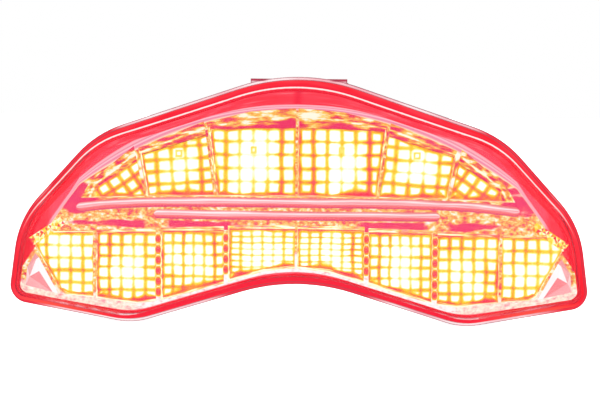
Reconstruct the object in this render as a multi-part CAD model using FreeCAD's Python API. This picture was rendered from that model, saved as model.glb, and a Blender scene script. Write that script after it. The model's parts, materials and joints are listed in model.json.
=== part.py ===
"""Crescent-shaped LED tail light for a motorcycle, as separate pieces, in millimetres.

The row frame: +X is to the right of someone looking at the lit face, +Z is up, and the lit face
points along -Y. The origin is midway between the two rear studs, on the plane that their pads
seat on. From front to back: lens, trim bars, mirrored bezel with one optic in each cell, LED
boards, control board, housing.
"""

import FreeCAD, Part
import math
import os

from FreeCAD import Vector

os.makedirs("parts", exist_ok=True)

# ---------------------------------------------------------------------------
# Driving dimensions
# ---------------------------------------------------------------------------

# Right half of the front outline, from the top centre round to the bottom centre: x, z, corner radius.
OUTLINE = [
    (0.0, 67.0, 92.0),
    (98.3, 33.9, 52.0),
    (136.2, -8.0, 47.0),
    (141.4, -47.8, 9.0),
    (80.0, -58.8, 35.0),
    (0.0, -34.4, 92.0),
]
# Right half of the bezel's front lip, corner for corner with the outline.
BEZEL_LIP = [
    (0.0, 57.0, 141.0),
    (91.5, 24.6, 25.0),
    (129.5, -19.5, 12.0),
    (134.5, -42.5, 4.0),
    (77.2, -50.4, 40.0),
    (0.0, -27.2, 78.0),
]

# Depth stations along Y, from the seat plane forwards.
SEAT_Y = 0.0
BACK_Y = -4.0
RIM_BACK_Y = -28.0
PARTING_Y = -34.0
FLANGE_Y = -37.0
FACE_Y = -62.0
BEYOND_Y = -80.0

# Lens: a bowl whose front is part of a large sphere.
CROWN_RADIUS = 600.0
CROWN_Z = 5.0
LENS_WALL = 2.5
SKIRT_INSET = 1.5
SKIRT_DRAFT = math.tan(math.radians(7.0))
EDGE_RADIUS = 2.0

# Housing: a tapered tray with a grooved rim.
WALL = 2.5
RIM_INNER_INSET = 6.0
SHELL_INSET = 3.5
SHELL_BACK_INSET = 9.0
# The back edge is turned in over three slopes: how far before the back plane, and the extra inset there.
BACK_EDGE = [(3.0, 0.0), (1.2, 0.8), (0.0, 2.6)]
TONGUE_INSET, TONGUE_WIDTH, TONGUE_DEPTH = 1.1, 1.6, 3.0
GROOVE_CLEARANCE = 0.2
SEAL_DEPTH = 1.0

# Bezel and optics.
BEZEL_BEHIND_FACE = 7.5
BEZEL_SKIN = 2.0
BEZEL_FOOT_INSET = 4.8
BEZEL_FOOT_Y = -34.2
BEZEL_LIP_Y = -54.5
CELL_BACK_Y = -35.0
CELL_FRONT_Y = -56.0
FLOOR_Y = -44.0
FLOOR_SWEEP = 0.6
OPTIC_THICKNESS = 2.0
OPTIC_CLEARANCE = 0.15

# Cells of the right half: the polygon (x, z) on the floor, then the wider one at the front.
UPPER_CELLS = [
    (
        [(0.8, 5.2), (0.8, 37.5), (22.0, 37.2), (41.4, 36.2), (37.9, 5.1)],
        [(0.5, 5.0), (0.5, 50.3), (22.5, 48.4), (44.0, 42.2), (38.2, 4.9)],
    ),
    (
        [(39.5, 5.0), (43.2, 34.0), (75.0, 24.0), (71.5, 4.5)],
        [(39.2, 4.8), (45.0, 43.4), (77.2, 31.0), (71.8, 4.3)],
    ),
    (
        [(73.1, 4.2), (77.0, 21.5), (97.0, 8.0), (98.5, 3.2)],
        [(72.8, 4.0), (79.4, 34.0), (105.0, 15.0), (116.5, 2.6)],
    ),
]
LOWER_CELLS = [
    (
        [(0.8, -11.8), (32.3, -11.8), (32.3, -35.8), (16.0, -30.6), (0.8, -28.8)],
        [(0.5, -8.0), (32.6, -8.0), (32.6, -36.2), (16.0, -30.9), (0.5, -29.0)],
    ),
    (
        [(34.7, -13.2), (64.9, -13.2), (64.9, -45.4), (34.7, -36.6)],
        [(34.4, -8.4), (65.2, -8.7), (65.2, -45.9), (34.4, -37.0)],
    ),
    (
        [(67.5, -14.2), (96.9, -14.2), (96.9, -45.3), (77.0, -47.3), (67.5, -46.0)],
        [(67.2, -9.0), (97.2, -9.6), (97.2, -45.7), (77.0, -47.7), (67.2, -46.4)],
    ),
    (
        [(98.5, -14.8), (122.8, -14.8), (128.0, -20.0), (115.2, -42.4), (111.5, -44.3), (98.5, -45.0)],
        [(98.2, -10.0), (121.5, -10.0), (129.0, -18.0), (116.0, -43.0), (112.0, -44.8), (98.2, -45.4)],
    ),
]
# Solid frames that the cells are cut from: right half, top centre round to bottom centre.
UPPER_FRAME = [(0.0, 53.0), (46.0, 47.0), (81.0, 37.0), (108.0, 18.0), (119.0, 0.8), (0.0, 0.8)]
LOWER_FRAME = [
    (0.0, -6.8),
    (123.0, -8.6),
    (130.6, -17.2),
    (117.2, -44.0),
    (112.5, -46.0),
    (77.2, -49.0),
    (33.0, -37.5),
    (16.0, -32.1),
    (0.0, -30.2),
]

# Trim bars between the two rows of cells: half length, centre height, height, how far they
# stand off the bezel, and how far the ends droop.
UPPER_BAR = {"half": 104.0, "z": 2.3, "height": 4.6, "proud": 2.2, "droop": 3.8}
LOWER_BAR = {"half": 66.0, "z": -3.9, "height": 4.4, "proud": 1.8, "droop": 0.0}
BAR_ROOT = 1.0

# Mounting.
STUD_X, STUD_Z, STUD_RADIUS, STUD_LENGTH = 60.0, 0.0, 3.0, 18.0
STUD_HEAD_FLAT, STUD_HEAD_DEPTH = 10.0, 4.0
STUD_SHOULDER_RADIUS, STUD_HOLE_CLEARANCE = 3.5, 0.1
BOSS_RADIUS, PAD_THICKNESS = 9.0, 1.5
TAB_HALF, TAB_TOP_Z = 23.3, 61.0
SHELF_TOP_Z, SHELF_THICKNESS, SHELF_END_Y = 59.0, 2.5, 9.0
SHELF_RAIL, SHELF_RAIL_DEPTH = 2.4, 7.0
SHELF_HOLE_X, SHELF_HOLE_Y, SHELF_HOLE = 14.0, 1.0, 4.5
SLEEVE_OUTER, SLEEVE_BORE = 3.9, 3.1
SHELF_GROMMET_FLANGE, SHELF_GROMMET_LIP = 6.4, 1.5

# Cable inlet and breather on the back.
INLET_Z, INLET_HOLE, INLET_BORE, INLET_THROAT = 28.0, 7.0, 4.0, 3.2
VENT_X, VENT_Z, VENT_HOLE = 66.0, -30.0, 3.0

# Boards.
BOARD_THICKNESS = 1.6
LED_BOARD_Y = -26.0
CONTROL_BOARD_Y = -15.0
CONTROL_HALF, CONTROL_BOTTOM, CONTROL_TOP = 30.0, -22.0, 14.0
UPPER_BOARD = [(0.0, 44.0), (44.0, 38.0), (78.0, 26.0), (103.0, 9.0), (103.0, 3.0), (0.0, 3.0)]
LOWER_BOARD = [
    (0.0, -14.5),
    (122.0, -14.5),
    (125.0, -21.0),
    (113.0, -42.5),
    (77.0, -45.0),
    (32.0, -34.0),
    (0.0, -26.2),
]
SPACERS = [(40.4, 20.0), (74.0, 12.0), (33.5, -24.5), (97.6, -25.0)]
CONTROL_SPACERS = [(26.0, 10.0), (26.0, -18.0)]
UPPER_LEDS = [
    (11.0, 12.0),
    (28.0, 12.0),
    (11.0, 28.0),
    (28.0, 28.0),
    (50.0, 11.0),
    (63.0, 11.0),
    (50.0, 25.0),
    (65.0, 21.0),
    (83.5, 8.5),
    (94.0, 7.4),
]
LOWER_LEDS = [
    (9.0, -20.5),
    (23.0, -23.0),
    (43.0, -27.0),
    (57.0, -29.0),
    (75.0, -30.0),
    (88.5, -30.0),
    (106.5, -30.0),
    (117.0, -24.0),
]
LED_SIDE, LED_BASE, LED_DOME = 7.6, 2.0, 2.5
# Deep wells in the housing, through which screws hold the bezel from behind.
BEZEL_SCREWS = [(44.0, -5.5), (98.0, -5.5)]
WELL_RADIUS, WELL_BORE, WELL_FLOOR_Y, WELL_END_Y = 5.0, 3.2, -30.5, -33.0
BEZEL_BOSS_RADIUS, BEZEL_SCREW_LENGTH = 3.5, 11.0
RESISTOR_SIZE = (6.3, 3.2, 0.7)
SCREW_RADIUS, SCREW_HEAD_RADIUS, SCREW_HEAD_DEPTH = 1.5, 2.8, 1.9


# ---------------------------------------------------------------------------
# Helpers
# ---------------------------------------------------------------------------


def mirrored(half):
    """A closed ring of points from its right half. Points on the centre line are used once."""
    left = [(-p[0],) + tuple(p[1:]) for p in reversed(half) if abs(p[0]) > 1e-9]
    return list(half) + left


def inset_ring(ring, inset):
    """The ring moved inwards by inset. Outer corners lose that much radius and inner corners gain it."""
    count = len(ring)
    moved = []
    for i, (x, z, radius) in enumerate(ring):
        ax, az = ring[i - 1][0], ring[i - 1][1]
        bx, bz = ring[(i + 1) % count][0], ring[(i + 1) % count][1]
        ux, uz = x - ax, z - az
        vx, vz = bx - x, bz - z
        ul, vl = math.hypot(ux, uz), math.hypot(vx, vz)
        ux, uz, vx, vz = ux / ul, uz / ul, vx / vl, vz / vl
        turn = ux * vz - uz * vx
        # The ring runs clockwise, so its inside lies to the right of each edge.
        nx, nz = uz + vz, -ux - vx
        scale = inset / (1.0 + ux * vx + uz * vz)
        corner = radius - inset if turn < 0 else radius + inset
        moved.append((x + nx * scale, z + nz * scale, max(corner, 1.0)))
    return moved


def rounded_wire(ring, y):
    """A wire at depth y round the ring, with an arc at every corner."""
    count = len(ring)
    arcs = []
    for i, (x, z, radius) in enumerate(ring):
        corner = Vector(x, y, z)
        before = Vector(ring[i - 1][0], y, ring[i - 1][1]) - corner
        after = Vector(ring[(i + 1) % count][0], y, ring[(i + 1) % count][1]) - corner
        before.normalize()
        after.normalize()
        half = before.getAngle(after) / 2.0
        bisector = (before + after).normalize()
        reach = radius / math.tan(half)
        middle = corner + bisector * (radius / math.sin(half) - radius)
        arcs.append((corner + before * reach, middle, corner + after * reach))
    edges = []
    for i, (start, middle, end) in enumerate(arcs):
        edges.append(Part.Arc(start, middle, end).toShape())
        edges.append(Part.LineSegment(end, arcs[(i + 1) % count][0]).toShape())
    return Part.Wire(edges)


def outline_wire(inset, y):
    return rounded_wire(inset_ring(mirrored(OUTLINE), inset), y)


def loft(wires):
    return Part.makeLoft(wires, True, True)


def outline_solid(inset, y, far_inset, far_y):
    """The solid between the outline inset at one depth and at another."""
    return loft([outline_wire(inset, y), outline_wire(far_inset, far_y)])


def ring_solid(outer_inset, inner_inset, y, far_y):
    outer = outline_solid(outer_inset, y, outer_inset, far_y)
    return outer.cut(outline_solid(inner_inset, y, inner_inset, far_y))


def crown(depth):
    """The ball whose front surface lies depth behind the lens's outer face."""
    return Part.makeSphere(CROWN_RADIUS - depth, Vector(0, FACE_Y + CROWN_RADIUS, CROWN_Z))


def crown_y(depth, x, z):
    """Where the front of crown(depth) is at x, z."""
    radius = CROWN_RADIUS - depth
    return FACE_Y + CROWN_RADIUS - math.sqrt(radius**2 - x**2 - (z - CROWN_Z) ** 2)


def polygon_wire(points, y):
    corners = [Vector(x, y, z) for x, z in points]
    return Part.makePolygon(corners + corners[:1])


def polygon_solid(points, y, far_y):
    face = Part.Face(polygon_wire(points, y))
    return face.extrude(Vector(0, far_y - y, 0))


def box(x, y, z, width, depth, height):
    """A box centred on x and z, from y towards +Y."""
    return Part.makeBox(width, depth, height, Vector(x - width / 2, y, z - height / 2))


def rod(x, z, radius, y, far_y):
    """A cylinder along Y between two depths."""
    return Part.makeCylinder(radius, far_y - y, Vector(x, y, z), Vector(0, 1, 0))


def tube(x, z, outer, inner, y, far_y):
    return rod(x, z, outer, y, far_y).cut(rod(x, z, inner, y - 1, far_y + 1))


def upright_rod(x, radius, z, far_z):
    """A cylinder along Z, on the line of the shelf's holes."""
    return Part.makeCylinder(radius, far_z - z, Vector(x, SHELF_HOLE_Y, z))


def hexagon(x, z, flat, y, far_y):
    radius = flat / math.sqrt(3.0)
    points = [
        (x + radius * math.cos(math.radians(60 * i)), z + radius * math.sin(math.radians(60 * i)))
        for i in range(6)
    ]
    return polygon_solid(points, y, far_y)


def both_sides(places):
    """Every place and its mirror image, left to right."""
    return sorted([(-x, z) for x, z in places] + list(places))


def shrunk(points, gap):
    """A polygon with every edge moved inwards by gap, whichever way round it runs."""
    area = sum(
        points[i - 1][0] * points[i][1] - points[i][0] * points[i - 1][1] for i in range(len(points))
    )
    clockwise = points if area < 0 else list(reversed(points))
    ring = inset_ring([(x, z, 1.0) for x, z in clockwise], gap)
    return [(x, z) for x, z, radius in ring]


def flipped(points):
    return [(-x, z) for x, z in points]


def pan_screw(x, z, head_y, length, towards):
    """A cross-head screw along Y. The head starts at head_y, and the shank runs on by length.

    towards is +1 for a screw that points along +Y, and -1 for one that points along -Y.
    """
    head_end = head_y + towards * SCREW_HEAD_DEPTH
    tip = head_end + towards * length
    head = rod(x, z, SCREW_HEAD_RADIUS, min(head_y, head_end), max(head_y, head_end))
    shank = rod(x, z, SCREW_RADIUS, min(head_end, tip), max(head_end, tip))
    slot_y = head_y if towards > 0 else head_y - 0.8
    cross = box(x, slot_y, z, 3.2, 0.8, 0.7).fuse(box(x, slot_y, z, 0.7, 0.8, 3.2))
    return head.fuse(shank).cut(cross).removeSplitter()


def save(name, *solids):
    shape = solids[0] if len(solids) == 1 else Part.makeCompound(list(solids))
    if not shape.isValid() or not shape.Solids:
        raise ValueError(name + " is not a valid solid")
    shape.exportStep("parts/" + name + ".step")
    print(name, len(shape.Solids), round(shape.Volume / 1000, 2), "cm3")


# ---------------------------------------------------------------------------
# Lens, seal and housing
# ---------------------------------------------------------------------------


def skirt_inset(y, extra=0.0):
    return SKIRT_INSET + extra + (FLANGE_Y - y) * SKIRT_DRAFT


def make_lens():
    bowl = outline_solid(skirt_inset(FLANGE_Y), FLANGE_Y, skirt_inset(BEYOND_Y), BEYOND_Y)
    bowl = bowl.common(crown(0.0))
    face = max(bowl.Faces, key=lambda f: f.Area if isinstance(f.Surface, Part.Sphere) else 0.0)
    bowl = bowl.makeFillet(EDGE_RADIUS, face.Edges)
    flange = outline_solid(0.0, FLANGE_Y, 0.0, PARTING_Y)
    inside_y = PARTING_Y + 1.0
    hollow = outline_solid(
        skirt_inset(FLANGE_Y, LENS_WALL), inside_y, skirt_inset(BEYOND_Y, LENS_WALL), BEYOND_Y
    ).common(crown(LENS_WALL))
    tongue = ring_solid(TONGUE_INSET, TONGUE_INSET + TONGUE_WIDTH, PARTING_Y, PARTING_Y + TONGUE_DEPTH)
    tab_height = TAB_TOP_Z - SHELF_TOP_Z + 6.0
    tab = box(0.0, FLANGE_Y + 0.6, TAB_TOP_Z - tab_height / 2, 2 * TAB_HALF, 2.4, tab_height)
    return bowl.fuse([flange, tab]).cut(hollow).fuse(tongue).removeSplitter()


def groove():
    outer = TONGUE_INSET - GROOVE_CLEARANCE
    inner = TONGUE_INSET + TONGUE_WIDTH + GROOVE_CLEARANCE
    return ring_solid(outer, inner, PARTING_Y, PARTING_Y + TONGUE_DEPTH + SEAL_DEPTH)


def make_seal():
    outer = TONGUE_INSET - GROOVE_CLEARANCE
    inner = TONGUE_INSET + TONGUE_WIDTH + GROOVE_CLEARANCE
    start = PARTING_Y + TONGUE_DEPTH
    return ring_solid(outer, inner, start, start + SEAL_DEPTH)


def shell():
    """The tapered tray with its rim: a straight draft, then the turned-in back edge."""
    inside_y = BACK_Y - WALL
    stations = [outline_wire(SHELL_INSET, RIM_BACK_Y)]
    stations += [outline_wire(SHELL_BACK_INSET + extra, BACK_Y - before) for before, extra in BACK_EDGE]
    layers = [loft([near, far]) for near, far in zip(stations, stations[1:])]
    outer = layers[0].fuse(layers[1:])
    inner = outline_solid(SHELL_INSET + WALL, RIM_BACK_Y, SHELL_BACK_INSET + WALL, inside_y)
    rim = ring_solid(0.0, RIM_INNER_INSET, PARTING_Y, RIM_BACK_Y)
    return outer.cut(inner).fuse(rim)


def top_shelf():
    """A shelf over the top of the shell, with two holes behind the back wall and a rail down each edge."""
    start_y = PARTING_Y + 1.0
    middle_z = SHELF_TOP_Z - SHELF_THICKNESS / 2
    shelf = box(0.0, start_y, middle_z, 2 * TAB_HALF, SHELF_END_Y - start_y, SHELF_THICKNESS)
    far_edges = [e for e in shelf.Edges if abs(e.CenterOfMass.y - SHELF_END_Y) < 1e-6]
    shelf = shelf.makeFillet(5.0, [e for e in far_edges if abs(e.CenterOfMass.x) > 1])
    rail_z = SHELF_TOP_Z - SHELF_RAIL_DEPTH / 2
    rail_length = BACK_Y - RIM_BACK_Y
    for side in (-1, 1):
        x = side * (TAB_HALF - SHELF_RAIL / 2)
        rail = box(x, RIM_BACK_Y - 1.0, rail_z, SHELF_RAIL, rail_length, SHELF_RAIL_DEPTH)
        hole = upright_rod(side * SHELF_HOLE_X, SHELF_HOLE, SHELF_TOP_Z - 10.0, SHELF_TOP_Z + 10.0)
        shelf = shelf.fuse(rail).cut(hole)
    inside = outline_solid(RIM_INNER_INSET - 0.5, start_y, SHELL_BACK_INSET, BACK_Y)
    return shelf.cut(inside)


def back_ribs():
    """Low stiffening ribs across the outside of the back wall."""
    thickness, height = 1.6, 1.6
    ribs = [box(x, BACK_Y, 0.0, thickness, height, 140.0) for x in (-110.0, -86.0, -36.0, 36.0, 86.0, 110.0)]
    ribs += [box(0.0, BACK_Y, z, 300.0, height, thickness) for z in (-16.0, 14.0)]
    whole = ribs[0].multiFuse(ribs[1:])
    edge = SHELL_BACK_INSET + 3.4
    return whole.common(outline_solid(edge, BACK_Y - 1.0, edge, SEAT_Y))


def make_housing():
    body = shell().fuse(top_shelf()).fuse(back_ribs())
    inside_y = BACK_Y - WALL
    for x in (-STUD_X, STUD_X):
        body = body.fuse(rod(x, STUD_Z, BOSS_RADIUS, BACK_Y, SEAT_Y - PAD_THICKNESS))
        hole = rod(x, STUD_Z, STUD_SHOULDER_RADIUS + STUD_HOLE_CLEARANCE, inside_y - 1, SEAT_Y + 1)
        body = body.cut(hole)
    for x, z in both_sides(SPACERS):
        body = body.fuse(rod(x, z, SCREW_HEAD_RADIUS + 1.6, BACK_Y, BACK_Y + 2.0))
        body = body.cut(rod(x, z, SCREW_RADIUS + 0.2, inside_y - 1, SEAT_Y))
        body = body.cut(rod(x, z, SCREW_HEAD_RADIUS + 0.3, BACK_Y, SEAT_Y))
    for x, z in both_sides(CONTROL_SPACERS):
        body = body.fuse(rod(x, z, 3.0, inside_y - 2.0, inside_y))
    for x, z in both_sides(BEZEL_SCREWS):
        body = body.fuse(rod(x, z, WELL_RADIUS, WELL_END_Y, BACK_Y + 0.8))
        body = body.cut(rod(x, z, WELL_BORE, WELL_FLOOR_Y, SEAT_Y))
        body = body.cut(rod(x, z, SCREW_RADIUS + 0.2, WELL_END_Y - 1.0, WELL_FLOOR_Y))
    body = body.fuse(rod(0.0, INLET_Z, INLET_HOLE + 5.0, BACK_Y - 1.0, BACK_Y + 0.8))
    body = body.cut(rod(0.0, INLET_Z, INLET_HOLE, inside_y - 1, SEAT_Y))
    body = body.fuse(rod(VENT_X, VENT_Z, VENT_HOLE + 3.0, BACK_Y - 1.0, BACK_Y + 0.8))
    body = body.cut(rod(VENT_X, VENT_Z, VENT_HOLE, inside_y - 1, SEAT_Y))
    return body.cut(groove()).removeSplitter()


# ---------------------------------------------------------------------------
# Bezel, optics and trim bars
# ---------------------------------------------------------------------------


def bezel_envelope(extra, depth):
    """The bezel's outer form, moved inwards by extra and backwards by depth."""
    foot = outline_wire(BEZEL_FOOT_INSET + extra, BEZEL_FOOT_Y + (0.5 if extra else 0.0))
    lip = rounded_wire(inset_ring(mirrored(BEZEL_LIP), extra), BEZEL_LIP_Y)
    front = rounded_wire(inset_ring(mirrored(BEZEL_LIP), extra), BEYOND_Y)
    form = loft([foot, lip]).fuse(loft([lip, front])).removeSplitter()
    return form.common(crown(BEZEL_BEHIND_FACE + depth))


def cells():
    """Every cell as (row, floor polygon, front polygon), left to right."""
    found = []
    for row, half in (("upper", UPPER_CELLS), ("lower", LOWER_CELLS)):
        left = [(row, flipped(floor), flipped(front)) for floor, front in reversed(half)]
        right = [(row, floor, front) for floor, front in half]
        found += left + right
    return found


def floor_depth(polygon):
    """How deep a cell's floor lies: the outer cells step back with the sweep of the lens."""
    middle = sum(x for x, z in polygon) / len(polygon)
    return FLOOR_Y + FLOOR_SWEEP * middle**2 / (2 * CROWN_RADIUS)


def cell_cut(floor, front):
    y = floor_depth(floor)
    funnel = loft([polygon_wire(floor, y), polygon_wire(front, CELL_FRONT_Y)])
    shaft = polygon_solid(floor, y, CELL_BACK_Y + 1.0)
    return funnel.fuse(shaft)


def make_bezel():
    skin = bezel_envelope(0.0, 0.0).cut(bezel_envelope(1.8, BEZEL_SKIN))
    frames = polygon_solid(mirrored(UPPER_FRAME), CELL_BACK_Y, BEYOND_Y)
    frames = frames.fuse(polygon_solid(mirrored(LOWER_FRAME), CELL_BACK_Y, BEYOND_Y))
    for x, z in both_sides(BEZEL_SCREWS):
        frames = frames.fuse(tube(x, z, BEZEL_BOSS_RADIUS, SCREW_RADIUS, BEYOND_Y, WELL_END_Y))
    body = skin.fuse(frames.common(bezel_envelope(0.0, 0.0)))
    for row, floor, front in cells():
        body = body.cut(cell_cut(floor, front))
    for bar in (UPPER_BAR, LOWER_BAR):
        body = body.cut(make_bar(bar))
    return body.removeSplitter()


def make_optic(floor):
    y = floor_depth(floor)
    return polygon_solid(shrunk(floor, OPTIC_CLEARANCE), y, y + OPTIC_THICKNESS)


def bar_path(bar, z_shift):
    """Points along the bar's length at its height plus z_shift, drooping towards the ends."""
    count = 8
    points = []
    for i in range(-count, count + 1):
        x = bar["half"] * i / count
        z = bar["z"] + z_shift - bar["droop"] * (abs(x) / bar["half"]) ** 4
        points.append((x, z))
    return points


def make_bar(bar):
    """A round-ended bar that follows the bezel's curve, with a flat root bedded in it by BAR_ROOT."""
    half_height = bar["height"] / 2
    top = bar_path(bar, half_height)
    bottom = bar_path(bar, -half_height)
    upper = Part.BSplineCurve()
    upper.interpolate([Vector(x, BEYOND_Y, z) for x, z in top])
    lower = Part.BSplineCurve()
    lower.interpolate([Vector(x, BEYOND_Y, z) for x, z in reversed(bottom)])
    right = Vector(bar["half"] + half_height, BEYOND_Y, (top[-1][1] + bottom[-1][1]) / 2)
    left = Vector(-right.x, right.y, right.z)
    edges = [
        upper.toShape(),
        Part.Arc(upper.EndPoint, right, lower.StartPoint).toShape(),
        lower.toShape(),
        Part.Arc(lower.EndPoint, left, upper.StartPoint).toShape(),
    ]
    column = Part.Face(Part.Wire(edges)).extrude(Vector(0, SEAT_Y - BEYOND_Y, 0))
    front = column.common(crown(BEZEL_BEHIND_FACE - bar["proud"]))
    return front.cut(crown(BEZEL_BEHIND_FACE + BAR_ROOT))


# ---------------------------------------------------------------------------
# Boards and what is on them
# ---------------------------------------------------------------------------


def make_board(points, y, holes):
    board = polygon_solid(points, y, y + BOARD_THICKNESS)
    for x, z in holes:
        board = board.cut(rod(x, z, SCREW_RADIUS + 0.1, y - 1, y + BOARD_THICKNESS + 1))
    return board


def make_led(x, z):
    base = box(x, LED_BOARD_Y - LED_BASE, z, LED_SIDE, LED_BASE, LED_SIDE)
    stem = rod(x, z, LED_DOME, LED_BOARD_Y - LED_BASE - 1.2, LED_BOARD_Y - LED_BASE)
    dome = Part.makeSphere(LED_DOME, Vector(x, LED_BOARD_Y - LED_BASE - 1.2, z))
    return base.fuse(stem).fuse(dome).removeSplitter()


def resistor_places():
    """Two resistors to each pair of LEDs, beside the spacers where no LED sits."""
    upper = [(20.0, 7.0), (20.0, 36.0), (57.0, 31.0), (57.0, 5.5), (74.5, 5.0)]
    lower = [(16.0, -17.0), (50.0, -18.0), (82.0, -18.0), (82.0, -40.0), (111.0, -18.5)]
    return both_sides(upper + lower)


def make_resistor(x, z):
    width, height, depth = RESISTOR_SIZE
    return box(x, LED_BOARD_Y - depth, z, width, depth, height)


def make_spacer(x, z, flat, front_y, back_y):
    body = hexagon(x, z, flat, front_y, back_y)
    return body.cut(rod(x, z, SCREW_RADIUS, front_y - 1, back_y + 1))


def make_stud(x):
    inside_y = BACK_Y - WALL
    head = hexagon(x, STUD_Z, STUD_HEAD_FLAT, inside_y - STUD_HEAD_DEPTH, inside_y)
    shoulder = rod(x, STUD_Z, STUD_SHOULDER_RADIUS, inside_y - 1.0, SEAT_Y)
    shank = rod(x, STUD_Z, STUD_RADIUS, SEAT_Y, STUD_LENGTH)
    tip = [e for e in shank.Edges if abs(e.CenterOfMass.y - STUD_LENGTH) < 1e-6]
    return head.fuse([shoulder, shank.makeChamfer(0.7, tip)]).removeSplitter()


def make_grommet():
    inside_y = BACK_Y - WALL
    outside_y = BACK_Y + 0.8
    inner_flange = rod(0.0, INLET_Z, INLET_HOLE + 2.0, inside_y - 2.5, inside_y)
    neck = rod(0.0, INLET_Z, INLET_HOLE - 0.05, inside_y, outside_y)
    outer_flange = rod(0.0, INLET_Z, INLET_HOLE + 3.5, outside_y, outside_y + 2.4)
    collar_y = outside_y + 2.4
    collar = Part.makeCone(
        INLET_HOLE + 1.0, INLET_HOLE - 1.0, 10.0, Vector(0, collar_y, INLET_Z), Vector(0, 1, 0)
    )
    body = inner_flange.fuse([neck, outer_flange, collar])
    end_y = collar_y + 10.0
    body = body.cut(rod(0.0, INLET_Z, INLET_THROAT, inside_y - 4, end_y))
    body = body.cut(rod(0.0, INLET_Z, INLET_BORE, end_y - 10.0, end_y + 1))
    for step in (3.0, 5.4, 7.8):
        y = collar_y + step
        body = body.cut(tube(0.0, INLET_Z, INLET_HOLE + 2.0, INLET_HOLE - 1.8, y, y + 1.0))
    return body.removeSplitter()


def make_shelf_grommet(x):
    top, bottom = SHELF_TOP_Z, SHELF_TOP_Z - SHELF_THICKNESS
    neck = upright_rod(x, SHELF_HOLE, bottom, top)
    upper = upright_rod(x, SHELF_GROMMET_FLANGE, top, top + SHELF_GROMMET_LIP)
    lower = upright_rod(x, SHELF_GROMMET_FLANGE, bottom - SHELF_GROMMET_LIP, bottom)
    body = neck.fuse([upper, lower])
    return body.cut(upright_rod(x, SLEEVE_OUTER, bottom - 5.0, top + 5.0)).removeSplitter()


def make_shelf_sleeve(x):
    top = SHELF_TOP_Z + SHELF_GROMMET_LIP
    bottom = SHELF_TOP_Z - SHELF_THICKNESS - SHELF_GROMMET_LIP
    tube_body = upright_rod(x, SLEEVE_OUTER, bottom, top)
    washer = upright_rod(x, SHELF_GROMMET_FLANGE - 0.6, bottom - 1.0, bottom)
    bore = upright_rod(x, SLEEVE_BORE, bottom - 5.0, top + 5.0)
    return tube_body.fuse(washer).cut(bore).removeSplitter()


def make_vent_cap():
    outside_y = BACK_Y + 0.8
    dome = rod(VENT_X, VENT_Z, VENT_HOLE + 2.4, outside_y, outside_y + 2.0)
    stem = tube(VENT_X, VENT_Z, VENT_HOLE - 0.05, VENT_HOLE - 1.0, BACK_Y - WALL - 1.0, outside_y)
    slots = [
        box(VENT_X, outside_y, VENT_Z, 20.0, 0.8, 1.2),
        box(VENT_X, outside_y, VENT_Z, 1.2, 0.8, 20.0),
    ]
    cap = dome.fuse(stem)
    for slot in slots:
        cap = cap.cut(slot)
    return cap.removeSplitter()


def make_link(z, pins):
    """A pin header that joins the control board to an LED board."""
    front_y = LED_BOARD_Y + BOARD_THICKNESS
    block = box(0.0, CONTROL_BOARD_Y - 2.5, z, 2.54 * pins, 2.5, 2.5)
    for i in range(pins):
        x = (i - (pins - 1) / 2) * 2.54
        block = block.fuse(box(x, front_y, z, 0.64, CONTROL_BOARD_Y - front_y, 0.64))
    return block.removeSplitter()


def make_harness_socket():
    """A shrouded header on the back of the control board, facing the cable inlet."""
    back_y = CONTROL_BOARD_Y + BOARD_THICKNESS
    shroud = box(0.0, back_y, 9.0, 14.0, 5.0, 5.6).cut(box(0.0, back_y + 1.0, 9.0, 12.4, 5.0, 4.0))
    for i in range(4):
        shroud = shroud.fuse(box((i - 1.5) * 2.5, back_y, 9.0, 0.64, 4.2, 0.64))
    return shroud.removeSplitter()


def make_chip(x, z, length, width, height, legs):
    chip = box(x, CONTROL_BOARD_Y - height, z, length, height, width)
    for i in range(legs):
        leg_x = x + (i - (legs - 1) / 2) * length / legs
        chip = chip.fuse(box(leg_x, CONTROL_BOARD_Y - 0.4, z, 0.5, 0.4, width + 2.4))
    return chip.removeSplitter()


def make_capacitor(x, z):
    can = rod(x, z, 3.15, CONTROL_BOARD_Y - 8.0, CONTROL_BOARD_Y - 0.6)
    foot = box(x, CONTROL_BOARD_Y - 0.6, z, 6.8, 0.6, 6.8)
    return can.fuse(foot).removeSplitter()


# ---------------------------------------------------------------------------
# Export
# ---------------------------------------------------------------------------


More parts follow.
